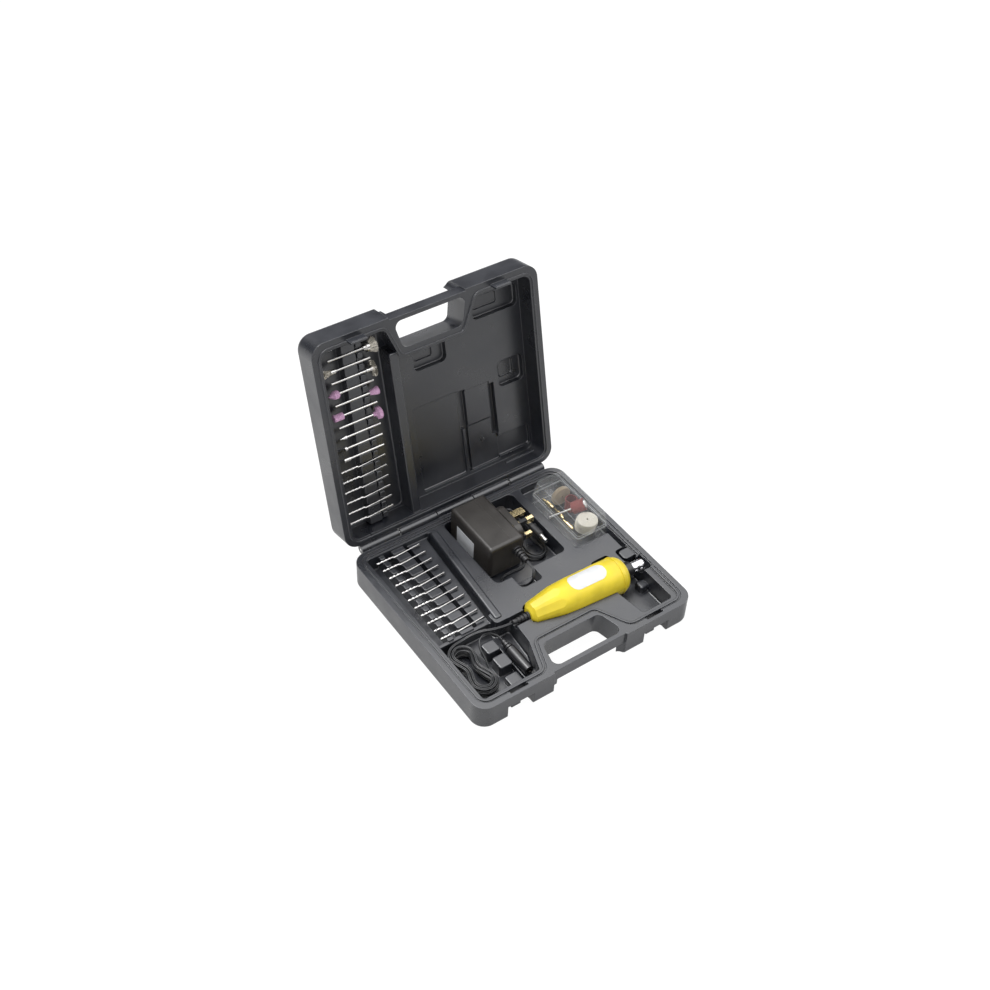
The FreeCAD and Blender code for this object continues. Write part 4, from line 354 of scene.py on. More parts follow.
@dataclass(frozen=True)
class Enamelled(Finish):
    """Turns of enamelled copper wire, side by side."""

    along: Triple = (1.0, 0.0, 0.0)
    pitch: float = 0.0005

    def dress(self, paint: Paint) -> None:
        """Wires ridges at the wire's pitch."""
        run = paint.add("ShaderNodeVectorMath", {0: paint.place, 1: self.along},
                        operation="DOT_PRODUCT").outputs["Value"]
        wave = paint.maths("SINE", paint.maths("MULTIPLY", run, 2 * math.pi / self.pitch))
        ridge = paint.maths("POWER", paint.maths("ABSOLUTE", wave), 0.5)
        dark = tuple(part * 0.4 for part in self.colour)
        paint.set(Base__Color=paint.blend(ridge, dark, self.colour), Metallic=0.75,
                  Roughness=self.roughness, Normal=paint.bump(ridge, 0.8, 0.0001))


@dataclass(frozen=True)
class Sticker(Finish):
    """A plain coated label with a little creasing."""

    def dress(self, paint: Paint) -> None:
        """Wires a slightly uneven coated surface."""
        crease = paint.noise(160.0, 3.0, 0.5)
        shade = tuple(part * 0.93 for part in self.colour)
        paint.set(Base__Color=paint.blend(paint.range(crease, 0.35, 0.65), shade, self.colour),
                  Roughness=self.roughness, Normal=paint.bump(crease, 0.3, 0.00006))


# The case's edges are paled strongly: more painted highlight than wear.
CASE = Moulded("case_plastic", "case_plastic", (0.0145, 0.0162, 0.022), 0.31, grain=1500.0,
               depth=0.00006, edge=0.0009, edge_wear_and_highlight=0.7, dust=0.12, gloss=0.85)
YELLOW = Moulded("yellow_housing", "yellow_plastic", (0.93, 0.73, 0.04), 0.32, grain=3800.0,
                 depth=0.000018, edge=0.0006, edge_wear_and_highlight=0.12, dust=0.05, seam=0.026)
BLACK = Moulded("black_plastic", "black_plastic", (0.014, 0.014, 0.016), 0.3, depth=0.00002,
                edge_wear_and_highlight=0.2, dust=0.1)
ADAPTER_SHELL = Moulded("adapter_plastic", "dark_adapter", (0.03, 0.027, 0.0245), 0.36,
                        grain=2200.0, depth=0.00005, edge=0.0006, edge_wear_and_highlight=0.25, dust=0.2)
RUBBER = Moulded("relief_rubber", "black_rubber", (0.016, 0.016, 0.018), 0.5, grain=4200.0,
                 depth=0.00002, edge_wear_and_highlight=0.3)
CORD = Moulded("cord_jacket", "cord_rubber", (0.02, 0.021, 0.024), 0.33, grain=5000.0,
               depth=0.00001, edge=0.0001, edge_wear_and_highlight=0.1, dust=0.1)
STEEL = Metal("bright_steel", "steel", (0.62, 0.61, 0.6), 0.26)
CHROME = Metal("nut_chrome", "nut_chrome", (0.78, 0.78, 0.8), 0.14, marks=0.000005)
BRASS = Metal("brass", "brass", (0.9, 0.74, 0.42), 0.2, stain=(0.6, 0.44, 0.2))
MAGNET = Metal("dark_iron", "magnet", (0.12, 0.12, 0.125), 0.5, along=(4000.0, 300.0, 300.0))
COPPER_ROUND = Enamelled("motor_winding", "copper", (0.72, 0.33, 0.14), 0.3)
COPPER_FLAT = Enamelled("transformer_winding", "copper", (0.68, 0.3, 0.12), 0.3,
                        along=(0.0, 1.0, 0.0), pitch=0.0006)
COPPER_BARS = Enamelled("commutator_bars", "copper", (0.75, 0.4, 0.2), 0.25,
                        along=(0.0, 0.0, 1.0), pitch=0.0021)
CARBON = Granular("carbon", "carbon", (0.03, 0.03, 0.032), 0.6, speck=(0.07, 0.07, 0.075))
BOARD = Moulded("board", "board", (0.24, 0.15, 0.05), 0.5, grain=900.0, edge=0.0002)
PART = Moulded("board_parts", "component", (0.03, 0.03, 0.035), 0.3, edge=0.0003)
LABEL = Sticker("tool_label", "label_white", (0.8, 0.81, 0.82), 0.3)
PLATE = Sticker("adapter_label", "label_blue", (0.7, 0.72, 0.75), 0.34)
STONE = Granular("pink_stone", "stone", (0.6, 0.29, 0.52), 0.85, speck=(0.78, 0.5, 0.72))
WIRE = Metal("brush_wire", "bristle", (0.55, 0.52, 0.46), 0.3, along=(2000.0, 300.0, 300.0))
CLEAR = Clear("clear_styrene", "clear", (0.93, 0.96, 0.98), 0.05)
GRIT = Granular("sanding_cloth", "abrasive", (0.12, 0.018, 0.02), 0.75, speck=(0.3, 0.07, 0.06))
BACKING = Sticker("sleeve_lining", "abrasive", (0.42, 0.03, 0.045), 0.5)
PALE_RIM = Sticker("sleeve_rim", "abrasive", (0.62, 0.55, 0.5), 0.6)
WOOL = Felt("white_felt", "felt", (0.72, 0.69, 0.6), 0.95)
WOOL_TAN = Felt("tan_felt", "felt", (0.34, 0.27, 0.18), 0.95)


def in_scene(name: str, data: bpy.types.ID) -> Object:
    """Returns a new object at the origin, linked to the scene."""
    thing = bpy.data.objects.new(name, data)
    bpy.context.scene.collection.objects.link(thing)
    return thing


def evaluated(helper: Object) -> Mesh:
    """Returns the mesh that a helper object comes to, and removes the helper."""
    bpy.context.view_layer.update()
    result = helper.evaluated_get(bpy.context.evaluated_depsgraph_get())
    mesh = bpy.data.meshes.new_from_object(result)
    bpy.data.objects.remove(helper)
    return mesh


def settle(name: str, mesh: Mesh, finishes: Sequence[Finish], body: Body,
           nodes: Iterable[str]) -> Object:
    """Puts a finished mesh on its body, in place of the solids that it stands for.

    Args:
        name: The piece's name.
        mesh: Its mesh, with its place in its points.
        finishes: The finishes of its faces' material numbers.
        body: The body that it rides on.
        nodes: The solids that it replaces.

    Returns:
        The new piece.
    """
    piece = in_scene(name, mesh)
    mesh.materials.clear()
    for finish in finishes:
        mesh.materials.append(finish.material())
    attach(piece, body.value)
    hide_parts(*nodes)
    LOG.info("%s rides on %s", name, body.value)
    return piece


def bridge(shape: bmesh.types.BMesh, one: Sequence[bmesh.types.BMVert],
           other: Sequence[bmesh.types.BMVert], band: int = 0) -> None:
    """Joins two rings by smooth faces; a ring can be one point.

    Args:
        shape: The shape that the rings belong to.
        one: The first ring.
        other: The second ring.
        band: The faces' material number.
    """
    sides = max(len(one), len(other))
    for number in range(sides if sides > 1 else 0):
        after = (number + 1) % sides
        corners = [one[number % len(one)], one[after % len(one)],
                   other[after % len(other)], other[number % len(other)]]
        face = shape.faces.new(list(dict.fromkeys(corners)))
        face.material_index = band
        face.smooth = True


def closed(shape: bmesh.types.BMesh, name: str) -> Mesh:
    """Returns a shape as a mesh with its faces outward, and frees the shape."""
    bmesh.ops.recalc_face_normals(shape, faces=shape.faces)
    mesh = bpy.data.meshes.new(name)
    shape.to_mesh(mesh)
    shape.free()
    return mesh


def lathe(profile: Sequence[tuple[float, float]], place: Matrix, faces: Sequence[int] = (),
          segments: int = 48, roughen: float = 0.0) -> Mesh:
    """Makes a closed surface of revolution about X.

    Args:
        profile: Pairs of distance along X and radius, in millimetres.
        place: Where it goes, as a matrix in metres.
        faces: The material number of each band between two pairs.
        segments: How many sides it has.
        roughen: How far its points stray, in millimetres.

    Returns:
        The mesh, in its place.
    """
    shape = bmesh.new()
    rings = []
    for along, radius in profile:
        ring = []
        for number in range(segments if radius > 1e-6 else 1):
            angle = 2 * math.pi * number / segments
            point = Vector((along, radius * math.cos(angle), radius * math.sin(angle)))
            if roughen:
                stray = sum(share * noise.noise(point * scale) for scale, share in STRAYS)
                point += Vector((STRAY_ALONG, math.cos(angle), math.sin(angle))) * stray * roughen
            ring.append(shape.verts.new(point * MM))
        rings.append(ring)
    for band, (one, other) in enumerate(zip(rings, rings[1:] + rings[:1])):
        bridge(shape, one, other, faces[band] if band < len(faces) else 0)
    mesh = closed(shape, "turned")
    mesh.set_sharp_from_angle(angle=math.radians(SMOOTH_WITHIN))
    mesh.transform(place)
    return mesh


def heading(start: Sequence[float], along: Sequence[float]) -> Matrix:
    """Returns the place of a piece drawn along X: where it starts and which way it goes."""
    turn = Vector((1, 0, 0)).rotation_difference(Vector(along)).to_matrix().to_4x4()
    return Matrix.Translation(Vector(start) * MM) @ turn


def merged(name: str, meshes: Sequence[Mesh]) -> Mesh:
    """Returns one mesh that holds several, which are then removed."""
    shape = bmesh.new()
    for mesh in meshes:
        shape.from_mesh(mesh)
        bpy.data.meshes.remove(mesh)
    whole = bpy.data.meshes.new(name)
    shape.to_mesh(whole)
    shape.free()
    return whole


class Recipe(Wiring):
    """A geometry node tree with named inputs, and the piece that it makes."""

    def __init__(self, name: str, sizes: dict[str, object]) -> None:
        """Starts a tree of a given name, with an input for each named size."""
        group = bpy.data.node_groups.new(name, "GeometryNodeTree")
        super().__init__(group)
        kinds = {int: "NodeSocketInt", float: "NodeSocketFloat", tuple: "NodeSocketVector",
                 Object: "NodeSocketObject", bpy.types.Material: "NodeSocketMaterial"}
        self.sizes = sizes
        for label, value in sizes.items():
            group.interface.new_socket(label, in_out="INPUT", socket_type=kinds[type(value)])
        group.interface.new_socket("Geometry", in_out="OUTPUT",
                                   socket_type="NodeSocketGeometry")
        self.given = self.add("NodeGroupInput").outputs

    def close(self, geometry: Socket) -> Mesh:
        """Ends the tree, runs it with its sizes and returns the mesh that it makes."""
        whole = self.add("GeometryNodeRealizeInstances", {0: geometry}).outputs[0]
        painted = self.add("GeometryNodeSetMaterial", {
            "Geometry": whole, "Material": self.given["Finish"]}).outputs[0]
        self.add("NodeGroupOutput", {"Geometry": painted})
        holder = in_scene("holder", bpy.data.meshes.new("holder"))
        step = holder.modifiers.new("recipe", "NODES")
        step.node_group = self.tree
        for item in self.tree.interface.items_tree:
            if item.in_out == "INPUT":
                step[item.identifier] = self.sizes[item.name]
        return evaluated(holder)


def row_of(bit: Object, count: int, first: Triple, pitch: float, finish: Finish) -> Mesh:
    """Repeats a bit along a rack, in Y; places are in millimetres.

    Args:
        bit: The object that is repeated.
        count: How many there are.
        first: The place of the first.
        pitch: The step from one to the next.
        finish: Their finish.

    Returns:
        One mesh with them all.
    """
    recipe = Recipe("rack_of_bits", {
        "Bit": bit, "Count": count, "First": tuple(value * MM for value in first),
        "Pitch": (0.0, pitch * MM, 0.0), "Finish": finish.material()})
    given = recipe.given
    line = recipe.add("GeometryNodeMeshLine", {
        "Count": given["Count"], "Start Location": given["First"], "Offset": given["Pitch"]})
    model = recipe.add("GeometryNodeObjectInfo", {"Object": given["Bit"]})
    placed = recipe.add("GeometryNodeInstanceOnPoints", {
        "Points": line.outputs[0], "Instance": model.outputs["Geometry"]})
    return recipe.close(placed.outputs[0])


@dataclass(frozen=True)
class Bristles:
    """A brush's wires: a ring of roots, and how far and which way the wires reach.

    Lengths are in millimetres; outward and forward give the wires' direction.
    """

    count: int
    inner: float
    outer: float
    root: float
    depth: float
    length: float
    forward: float
    outward: float
    stray: float = 0.12
    wire: float = 0.09

    def mesh(self, finish: Finish, seed: int) -> Mesh:
        """Returns the wires, drawn along X, each turned a little its own way."""
        recipe = Recipe("bristles", {
            "Count": self.count, "Inner": self.inner * MM, "Outer": self.outer * MM,
            "Root": self.root * MM, "Depth": self.depth * MM, "Length": self.length * MM,
            "Forward": self.forward, "Outward": self.outward, "Stray": self.stray,
            "Wire": self.wire * MM, "Seed": seed, "Finish": finish.material()})
        given = recipe.given

        def chance(low: object, high: object, offset: int) -> Socket:
            """Returns a random number for each wire."""
            number = recipe.maths("ADD", given["Seed"], float(offset))
            node = recipe.add("FunctionNodeRandomValue", {2: low, 3: high, 8: number})
            return node.outputs[1]

        add, maths = recipe.add, recipe.maths
        angle = chance(0.0, 2 * math.pi, 1)
        radius = chance(given["Inner"], given["Outer"], 2)
        across, up = maths("COSINE", angle), maths("SINE", angle)
        share = maths("DIVIDE", radius, given["Outer"])
        spread = maths("MULTIPLY", share, given["Outward"])
        start = add("ShaderNodeCombineXYZ", {
            0: maths("ADD", given["Root"], chance(0.0, given["Depth"], 3)),
            1: maths("MULTIPLY", radius, across), 2: maths("MULTIPLY", radius, up)})
        less = maths("MULTIPLY", given["Stray"], -1.0)
        way = add("ShaderNodeCombineXYZ", {
            0: maths("ADD", given["Forward"], chance(less, given["Stray"], 4)),
            1: maths("ADD", maths("MULTIPLY", spread, across), chance(less, given["Stray"], 5)),
            2: maths("ADD", maths("MULTIPLY", spread, up), chance(less, given["Stray"], 6))})
        points = add("GeometryNodePoints", {
            "Count": given["Count"], "Position": start.outputs[0]})
        wire = add("GeometryNodeMeshCylinder", {"Vertices": 5, "Radius": 1.0, "Depth": 1.0})
        raised = add("GeometryNodeTransform", {
            "Geometry": wire.outputs["Mesh"], "Translation": (0.0, 0.0, 0.5)})
        turn = add("FunctionNodeAlignRotationToVector", {"Vector": way.outputs[0]}, axis="Z")
        reach = maths("MULTIPLY", given["Length"], chance(0.88, 1.0, 7))
        scale = add("ShaderNodeCombineXYZ", {0: given["Wire"], 1: given["Wire"], 2: reach})
        placed = add("GeometryNodeInstanceOnPoints", {
            "Points": points.outputs[0], "Instance": raised.outputs[0],
            "Rotation": turn.outputs[0], "Scale": scale.outputs[0]})
        return recipe.close(placed.outputs[0])


@dataclass(frozen=True)
class TwistDrill:
    """A small twist drill, drawn along X from its point.

    Lengths are in millimetres; the groove and the shank's end are shares of a radius.
    """

    radius: float = 0.9
    shank: float = 1.175
    point: float = 0.55
    fluted: float = 18.0
    runout: float = 1.0
    bevel: float = 0.4
    end_share: float = 0.8
    length: float = 51.0
    lead: float = 8.5
    groove: float = 0.5
    steps: int = 30
    sides: int = 14
    smooth_within: float = 40.0

    def stations(self) -> list[Triple]:
        """Returns places along the drill: the distance, the groove's share, the growth."""
        wide = self.shank / self.radius
        flutes = [(self.point + (self.fluted - self.point) * n / self.steps, 1.0, 1.0)
                  for n in range(self.steps + 1)]
        plain = self.fluted + self.runout
        return [*flutes, (plain, 0.0, 1.0), (plain + self.bevel, 0.0, wide),
                (self.length - self.bevel, 0.0, wide), (self.length, 0.0, self.end_share * wide)]

    def object(self) -> Object:
        """Returns the drill as an object of its own, for repeating."""
        shape = bmesh.new()
        rings = [[shape.verts.new((0.0, 0.0, 0.0))]]
        for along, cut, grow in self.stations():
            turn = 2 * math.pi * along / self.lead
            ring = []
            for number in range(self.sides):
                angle = 2 * math.pi * number / self.sides
                groove = self.groove * cut * max(0.0, math.cos(2 * angle)) ** 1.5
                radius = self.radius * grow * (1.0 - groove)
                angle += turn
                ring.append(shape.verts.new(Vector((
                    along, radius * math.cos(angle), radius * math.sin(angle))) * MM))
            rings.append(ring)
        for one, other in zip(rings, rings[1:]):
            bridge(shape, one, other)
        shape.faces.new(rings[-1])
        mesh = closed(shape, "twist_drill")
        mesh.set_sharp_from_angle(angle=math.radians(self.smooth_within))
        return in_scene("twist_drill", mesh)


@dataclass(frozen=True)
class Hank:
    """A cord wound into a waisted hank: loops that spiral in and out, layer on layer.

    Sizes are in millimetres; turns counts its whole loops, and climb is the part of a turn
    in which it rises to the next layer.
    """

    middle: tuple[float, float]
    low: float
    lobe: float
    reach: float
    waist: float
    layers: int
    turns: float
    starts_at_waist: bool = False
    pitch: float = 3.9
    climb: float = 0.5
    points_per_turn: int = 16

    def stretches(self) -> list[tuple[float, float, float, float, float, float]]:
        """Returns the arcs of one loop: centre, radius, how inset changes it, two angles."""
        side = self.waist ** 2 + self.reach ** 2 - self.lobe ** 2
        side /= 2 * (self.lobe - self.waist)
        slant = math.atan2(self.reach, self.waist + side)
        return [
            (0.0, -self.reach, self.lobe, -1.0, 0.0, -math.pi - slant),
            (-self.waist - side, 0.0, side, 1.0, -slant, slant),
            (0.0, self.reach, self.lobe, -1.0, math.pi + slant, -slant),
            (self.waist + side, 0.0, side, 1.0, math.pi - slant, math.pi + slant),
            (0.0, -self.reach, self.lobe, -1.0, slant, 0.0),
        ]

    def lengths(self) -> list[float]:
        """Returns the lengths of one loop's arcs."""
        return [radius * abs(end - start) for _, _, radius, _, start, end in self.stretches()]

    def share(self, stretch: int, part: float) -> float:
        """Returns how far round the loop a place on one of its arcs is, in turns."""
        lengths = self.lengths()
        return (sum(lengths[:stretch]) + lengths[stretch] * part) / sum(lengths)

    def ends(self) -> tuple[float, float]:
        """Returns where the hank starts and ends, in turns."""
        start, end = self.stretches()[2][4:]
        top = self.share(2, (start - math.pi / 2) / (start - end))
        return (self.share(1, 0.5) if self.starts_at_waist else 0.0), self.turns + top

    def point(self, turn: float) -> Vector:
        """Returns the place of the cord's middle at a turn, in metres."""
        first, last = self.ends()
        spiral = (last - first - self.climb * (self.layers - 1)) / self.layers
        gone = turn - first
        layer = min(int(gone // (spiral + self.climb)), self.layers - 1)
        part = gone - layer * (spiral + self.climb)
        across = min(part / spiral, 1.0)
        rise = max(part - spiral, 0.0) / self.climb
        inset = self.pitch * spiral * (1 - across if layer % 2 else across)
        height = self.low + self.pitch * (layer + rise * rise * (3 - 2 * rise))
        left = (turn % 1.0) * sum(self.lengths())
        for (x, y, radius, sense, start, end), length in zip(self.stretches(), self.lengths()):
            if left <= length:
                break
            left -= length
        angle = start + (end - start) * min(left / length, 1.0)
        radius += sense * inset
        return Vector((self.middle[0] + x + radius * math.cos(angle),
                       self.middle[1] + y + radius * math.sin(angle), height)) * MM

    def points(self) -> list[Vector]:
        """Returns the control points of the cord's own line through the hank."""
        first, last = self.ends()
        count = round((last - first) * self.points_per_turn)
        return [self.point(first + (last - first) * n / count) for n in range(count + 1)]


@dataclass(frozen=True)
class TwinFlex:
    """A thin two-core flex: two round cores side by side along one line.

    Its width is in millimetres; apart is the cores' spacing as a share of a core's width.
    """

    width: float = 2.8
    sides: int = 8
    apart: float = 0.97

    def line(self, controls: Sequence[Vector]) -> list[Vector]:
        """Returns points along the smooth line of the control points."""
        curve = bpy.data.curves.new("flex_line", "CURVE")
        curve.dimensions = "3D"
        curve.resolution_u = 5
        spline = curve.splines.new("NURBS")
        spline.points.add(len(controls) - 1)
        for point, control in zip(spline.points, controls):
            point.co = (*control, 1.0)
        spline.order_u = 3
        spline.use_endpoint_u = True
        mesh = evaluated(in_scene("flex_line", curve))
        points = [vertex.co.copy() for vertex in mesh.vertices]
        bpy.data.meshes.remove(mesh)
        return points

    def mesh(self, path: Sequence[Vector]) -> Mesh:
        """Returns the flex's two cores along a line, lying flat where it is level."""
        shape = bmesh.new()
        core = self.width * MM / 4
        side = Vector((0, 0, 1)).cross(path[1] - path[0]).normalized()
        frames = []
        for number, point in enumerate(path):
            before, after = path[max(number - 1, 0)], path[min(number + 1, len(path) - 1)]
            way = (after - before).normalized()
            side = (side - way * side.dot(way)).normalized()
            frames.append((point, side, way.cross(side)))
        for sense in (-1.0, 1.0):
            rings = []
            for point, side, up in frames:
                middle = point + side * sense * core * self.apart
                rings.append([shape.verts.new(
                    middle + (side * math.cos(a) + up * math.sin(a)) * core)
                    for a in (2 * math.pi * n / self.sides for n in range(self.sides))])
            for one, other in zip(rings, rings[1:]):
                bridge(shape, one, other)
            shape.faces.new(rings[0][::-1])
            shape.faces.new(rings[-1])
        return closed(shape, "flex")

    def lay(self, name: str, controls: Sequence[Vector], body: Body, nodes: Sequence[str],
            length: float) -> None:
        """Args:
            name: The piece's name.
            controls: The control points of its line, from where it leaves its housing.
            body: The body that it rides on.
            nodes: The solids that it replaces.
            length: Its real length in metres; not used.
        """
        path = self.line(controls)
        piece = settle(name, self.mesh(path), [CORD], body, nodes)
        tuple(controls[0])
        [tuple(p) for p in path]


def in_metres(points: Iterable[Sequence[float]]) -> list[Vector]:
    """Returns points given in millimetres as points in metres."""
    return [Vector(point) * MM for point in points]


@dataclass
class Assembly:
    finishes: dict[Finish, list[str]] = field(default_factory=dict)

    def dress(self, nodes: dict[str, Object]) -> None:
        """Gives each solid, found by its name, its finish."""
        for finish, names in self.finishes.items():
            for name in names:
                for slot in nodes[name].material_slots:
                    slot.material = finish.material()
            LOG.info("%s: %s", finish.name, ", ".join(names))

    def build(self) -> None:
        """Makes the pieces that replace solids; a plain assembly has none."""


@dataclass
class MouldedCase(Assembly):
    """The case's two halves with their racks of bits."""

    hinge: Triple = (0.0, 119.0, 29.0)
    opened: float = 103.0
    base_first: Triple = (-107.5, -17.4, 23.0)
    base_pitch: float = 11.53
    base_count: int = 11
    lid_first: Triple = (-113.5, -99.3, 42.0)
    lid_pitch: float = 12.1
    lid_drill_from: int = 11
    lid_count: int = 17
    right_start: float = -106.5
    left_start: float = -62.5
    shank_length: float = 38.0
    brushes: tuple[tuple[int, Way, Bristles], ...] = (
        (0, Way.LEFT, Bristles(170, 0.0, 2.2, 5.6, 0.6, 7.4, 1.0, 0.12, 0.05)),
        (1, Way.RIGHT, Bristles(420, 4.4, 4.9, 5.6, 0.8, 7.6, 0.92, 0.42, 0.07)),
        (2, Way.LEFT, Bristles(240, 0.0, 2.2, 4.6, 0.6, 8.6, 1.0, 0.27, 0.06)),
        (3, Way.RIGHT, Bristles(520, 3.0, 3.4, 6.6, 2.2, 5.2, 0.0, 1.0, 0.09)),
    )

    def lid_place(self) -> Matrix:
        """Returns the turn that opens the lid."""
        pivot = Matrix.Translation(Vector(self.hinge) * MM)
        return pivot @ Matrix.Rotation(-math.radians(self.opened), 4, "X") @ pivot.inverted()

    def head_place(self, number: int, way: Way) -> Matrix:
        """Returns the place of a lid bit's head, drawn along X from its shank's end."""
        start = self.right_start if way is Way.RIGHT else self.left_start
        x = start + way.value * self.shank_length
        spot = (x, self.lid_first[1] + number * self.lid_pitch, self.lid_first[2])
        return self.lid_place() @ heading(spot, (way.value, 0, 0))

    def build(self) -> None:
        """Makes the twist drills and the brushes' wires."""
        model = TwistDrill().object()
        mesh = row_of(model, self.base_count, self.base_first, self.base_pitch, STEEL)
        settle("base_twist_drills", mesh, [STEEL], Body.BASE, ["base_drills"])
        x, y, z = self.lid_first
        first = (x, y + self.lid_drill_from * self.lid_pitch, z)
        mesh = row_of(model, self.lid_count - self.lid_drill_from, first, self.lid_pitch, STEEL)
        mesh.transform(self.lid_place())
        settle("lid_twist_drills", mesh, [STEEL], Body.LID, ["lid_drills"])
        bpy.data.objects.remove(model)
        wires = []
        for number, way, bristles in self.brushes:
            mesh = bristles.mesh(WIRE, number + 1)
            mesh.transform(self.head_place(number, way))
            wires.append(mesh)
        settle("brush_wires", merged("brush_wires", wires), [WIRE], Body.LID,
               ["brush_bristles"])


@dataclass
class RotaryTool(Assembly):
    """The tool, with its lead wound into a hank beside the in-line socket."""

    tail: Triple = (-20.8, -40.88, 26.0)
    yaw: float = -2.8
    relief: float = 18.0
    straight: float = 7.5
    lead_length: float = 1.259
    hank: Hank = Hank((-97.5, -59.0), 7.0, 14.5, 17.5, 8.0, 4, 7.0)
    socket_run: tuple[Triple, ...] = (
        (-55.8, -48.0, 18.0), (-55.8, -42.8, 18.4), (-59.0, -37.3, 19.6),
        (-64.5, -34.1, 21.2), (-70.9, -34.1, 21.6), (-76.4, -37.3, 20.4),
        (-79.5, -42.8, 17.9), (-79.7, -50.0, 14.2), (-80.4, -57.6, 10.6),
        (-82.0, -64.6, 7.9), (-83.0, -70.0, 7.0))

    def along(self, distance: float) -> Vector:
        """Returns a point on the tool's axis, in millimetres."""
        yaw = math.radians(self.yaw)
        return Vector(self.tail) + Vector((math.cos(yaw), math.sin(yaw), 0)) * distance

    def build(self) -> None:
        """Lays the tool's flex from its strain relief through the hank to the socket."""
        out = [self.along(-self.relief), self.along(-self.relief - self.straight),
               Vector((-60.5, -36.5, 26.2)), Vector((-69.0, -31.5, 25.2)),
               Vector((-79.5, -27.6, 21.4)), Vector((-88.5, -27.0, 18.7))]
        controls = in_metres(out) + self.hank.points()[::-1] + in_metres(self.socket_run[::-1])
        TwinFlex().lay("tool_flex", controls, Body.TOOL,
                       ["tool_lead", "tool_lead_hank", "socket_lead"], self.lead_length)


@dataclass
class PowerAdapter(Assembly):
    """The plug-in adapter, with its lead wound into a hank under its pins."""

    lead_length: float = 0.723
    hank: Hank = Hank((45.0, 61.5), 8.5, 14.6, 24.0, 12.6, 2, 3.0, True)
    first_run: tuple[Triple, ...] = (
        (16.0, 13.5, 33.0), (15.9, 8.0, 33.1), (15.7, 2.5, 33.0), (14.3, -1.9, 30.5),
        (12.1, -4.4, 26.1), (9.2, -4.4, 21.1), (5.9, -1.9, 16.8), (2.1, 2.5, 14.3),
        (-2.5, 7.3, 13.9), (-7.2, 11.9, 12.7), (-8.4, 18.2, 10.8), (-5.6, 24.0, 9.3),
        (-0.5, 27.0, 8.6), (5.8, 27.1, 8.5), (13.4, 26.7, 8.5), (21.2, 26.4, 8.5),
        (26.4, 29.4, 8.5), (29.4, 34.6, 8.5), (29.5, 40.2, 8.5), (31.0, 47.2, 8.5),
        (32.1, 54.0, 8.5), (32.4, 57.8, 8.5))
    plug_run: tuple[Triple, ...] = (
        (56.5, 68.5, 20.0), (56.6, 73.4, 19.9), (57.6, 78.6, 17.4), (58.9, 83.2, 13.9),
        (59.6, 90.0, 12.5), (54.9, 97.7, 12.4), (49.8, 100.1, 12.4))

    def build(self) -> None:
        """Lays the adapter's flex from its strain relief through the hank to the plug."""
        controls = (in_metres(self.first_run) + self.hank.points()
                    + in_metres(self.plug_run[::-1]))
        TwinFlex().lay("adapter_flex", controls, Body.ADAPTER,
                       ["adapter_lead", "adapter_lead_hank", "barrel_lead"],
                       self.lead_length)


@dataclass
class ClearBox(Assembly):
    """The clear box and what it holds, in millimetres.

    The screw's head is outlined from the drum's end, as pairs of distance and radius.
    """

    floor: float = 18.4
    sleeve_radius: float = 6.5
    sleeve_bore: float = 5.7
    sleeve_length: float = 14.0
    upright: tuple[float, float] = (107.3, 59.8)
    leaning: Triple = (99.2, 47.3, 33.1)
    lean: Triple = (0.731, -0.474, 0.4925)
    shank: float = 27.0
    wheel_radius: float = 11.0
    wheel_thick: float = 5.0
    wheel_pitch: float = 5.2
    disc_stray: float = 0.14
    wheel_stray: float = 0.1
    disc: tuple[float, float] = (102.8, 69.6)
    wheels: tuple[tuple[float, float], ...] = ((102.9, 29.0), (102.6, 28.0), (102.2, 26.0))
    shank_radius: float = 1.175
    head: tuple[tuple[float, float], ...] = (
        (0.0, 4.0), (0.15, 4.2), (0.7, 4.0), (0.8, 3.8), (0.8, 1.5), (0.95, 1.3), (1.15, 0.8),
        (1.2, 0.0))

    def wheel(self, place: Matrix, roughen: float) -> Mesh:
        """Returns one felt wheel with a soft rim and a fine bore.

        Args:
            place: Where it goes, drawn along X from its back face.
            roughen: How far its points stray, in millimetres.
        """
        radius, thick, rows = self.wheel_radius, self.wheel_thick, 5
        side = [(0, 1.2), (0, 4.0), (0, 8.0), (0, radius - 0.6), (0.5, radius)]
        rim = [(0.5 + (thick - 1) * n / rows, radius) for n in range(1, rows)]
        other = [(thick - along, spread) for along, spread in reversed(side)]
        return lathe(side + rim + other, place, segments=96, roughen=roughen)

    def build(self) -> None:
        """Makes the sanding sleeves, the drum's screw and the felt wheels."""
        length, outer, bore = self.sleeve_length, self.sleeve_radius, self.sleeve_bore
        leaning = heading(self.leaning, self.lean)
        upright = heading((*self.upright, self.floor), (0, 0, 1))
        wall = [(0, bore), (0, outer - 0.1), (0.1, outer), (length - 0.1, outer),
                (length, outer - 0.1), (length, bore)]
        sleeves = [lathe(wall, place, (2, 2, 0, 2, 2, 1), 64) for place in (upright, leaning)]
        settle("sanding_drums", merged("sanding_drums", sleeves), [GRIT, BACKING, PALE_RIM],
               Body.BOX, ["sanding_sleeves"])
        screw = [(-self.shank, 0), (-self.shank, 1.0), (0.2 - self.shank, self.shank_radius),
                 (length, self.shank_radius)]
        screw += [(length + along, radius) for along, radius in self.head]
        settle("drum_screw", lathe(screw, leaning), [STEEL], Body.BOX, ["drum_mandrel"])
        place = heading((*self.disc, self.floor + self.wheel_radius), (0, 1, 0))
        settle("felt_wheel", self.wheel(place, self.disc_stray), [WOOL_TAN], Body.BOX,
               ["felt_disc"])
        stack = []
        for number, spot in enumerate(self.wheels):
            place = heading((*spot, self.floor + number * self.wheel_pitch), (0, 0, 1))
            stack.append(self.wheel(place, self.wheel_stray))
        settle("felt_stack", merged("felt_stack", stack), [WOOL], Body.BOX, ["felt_wheels"])


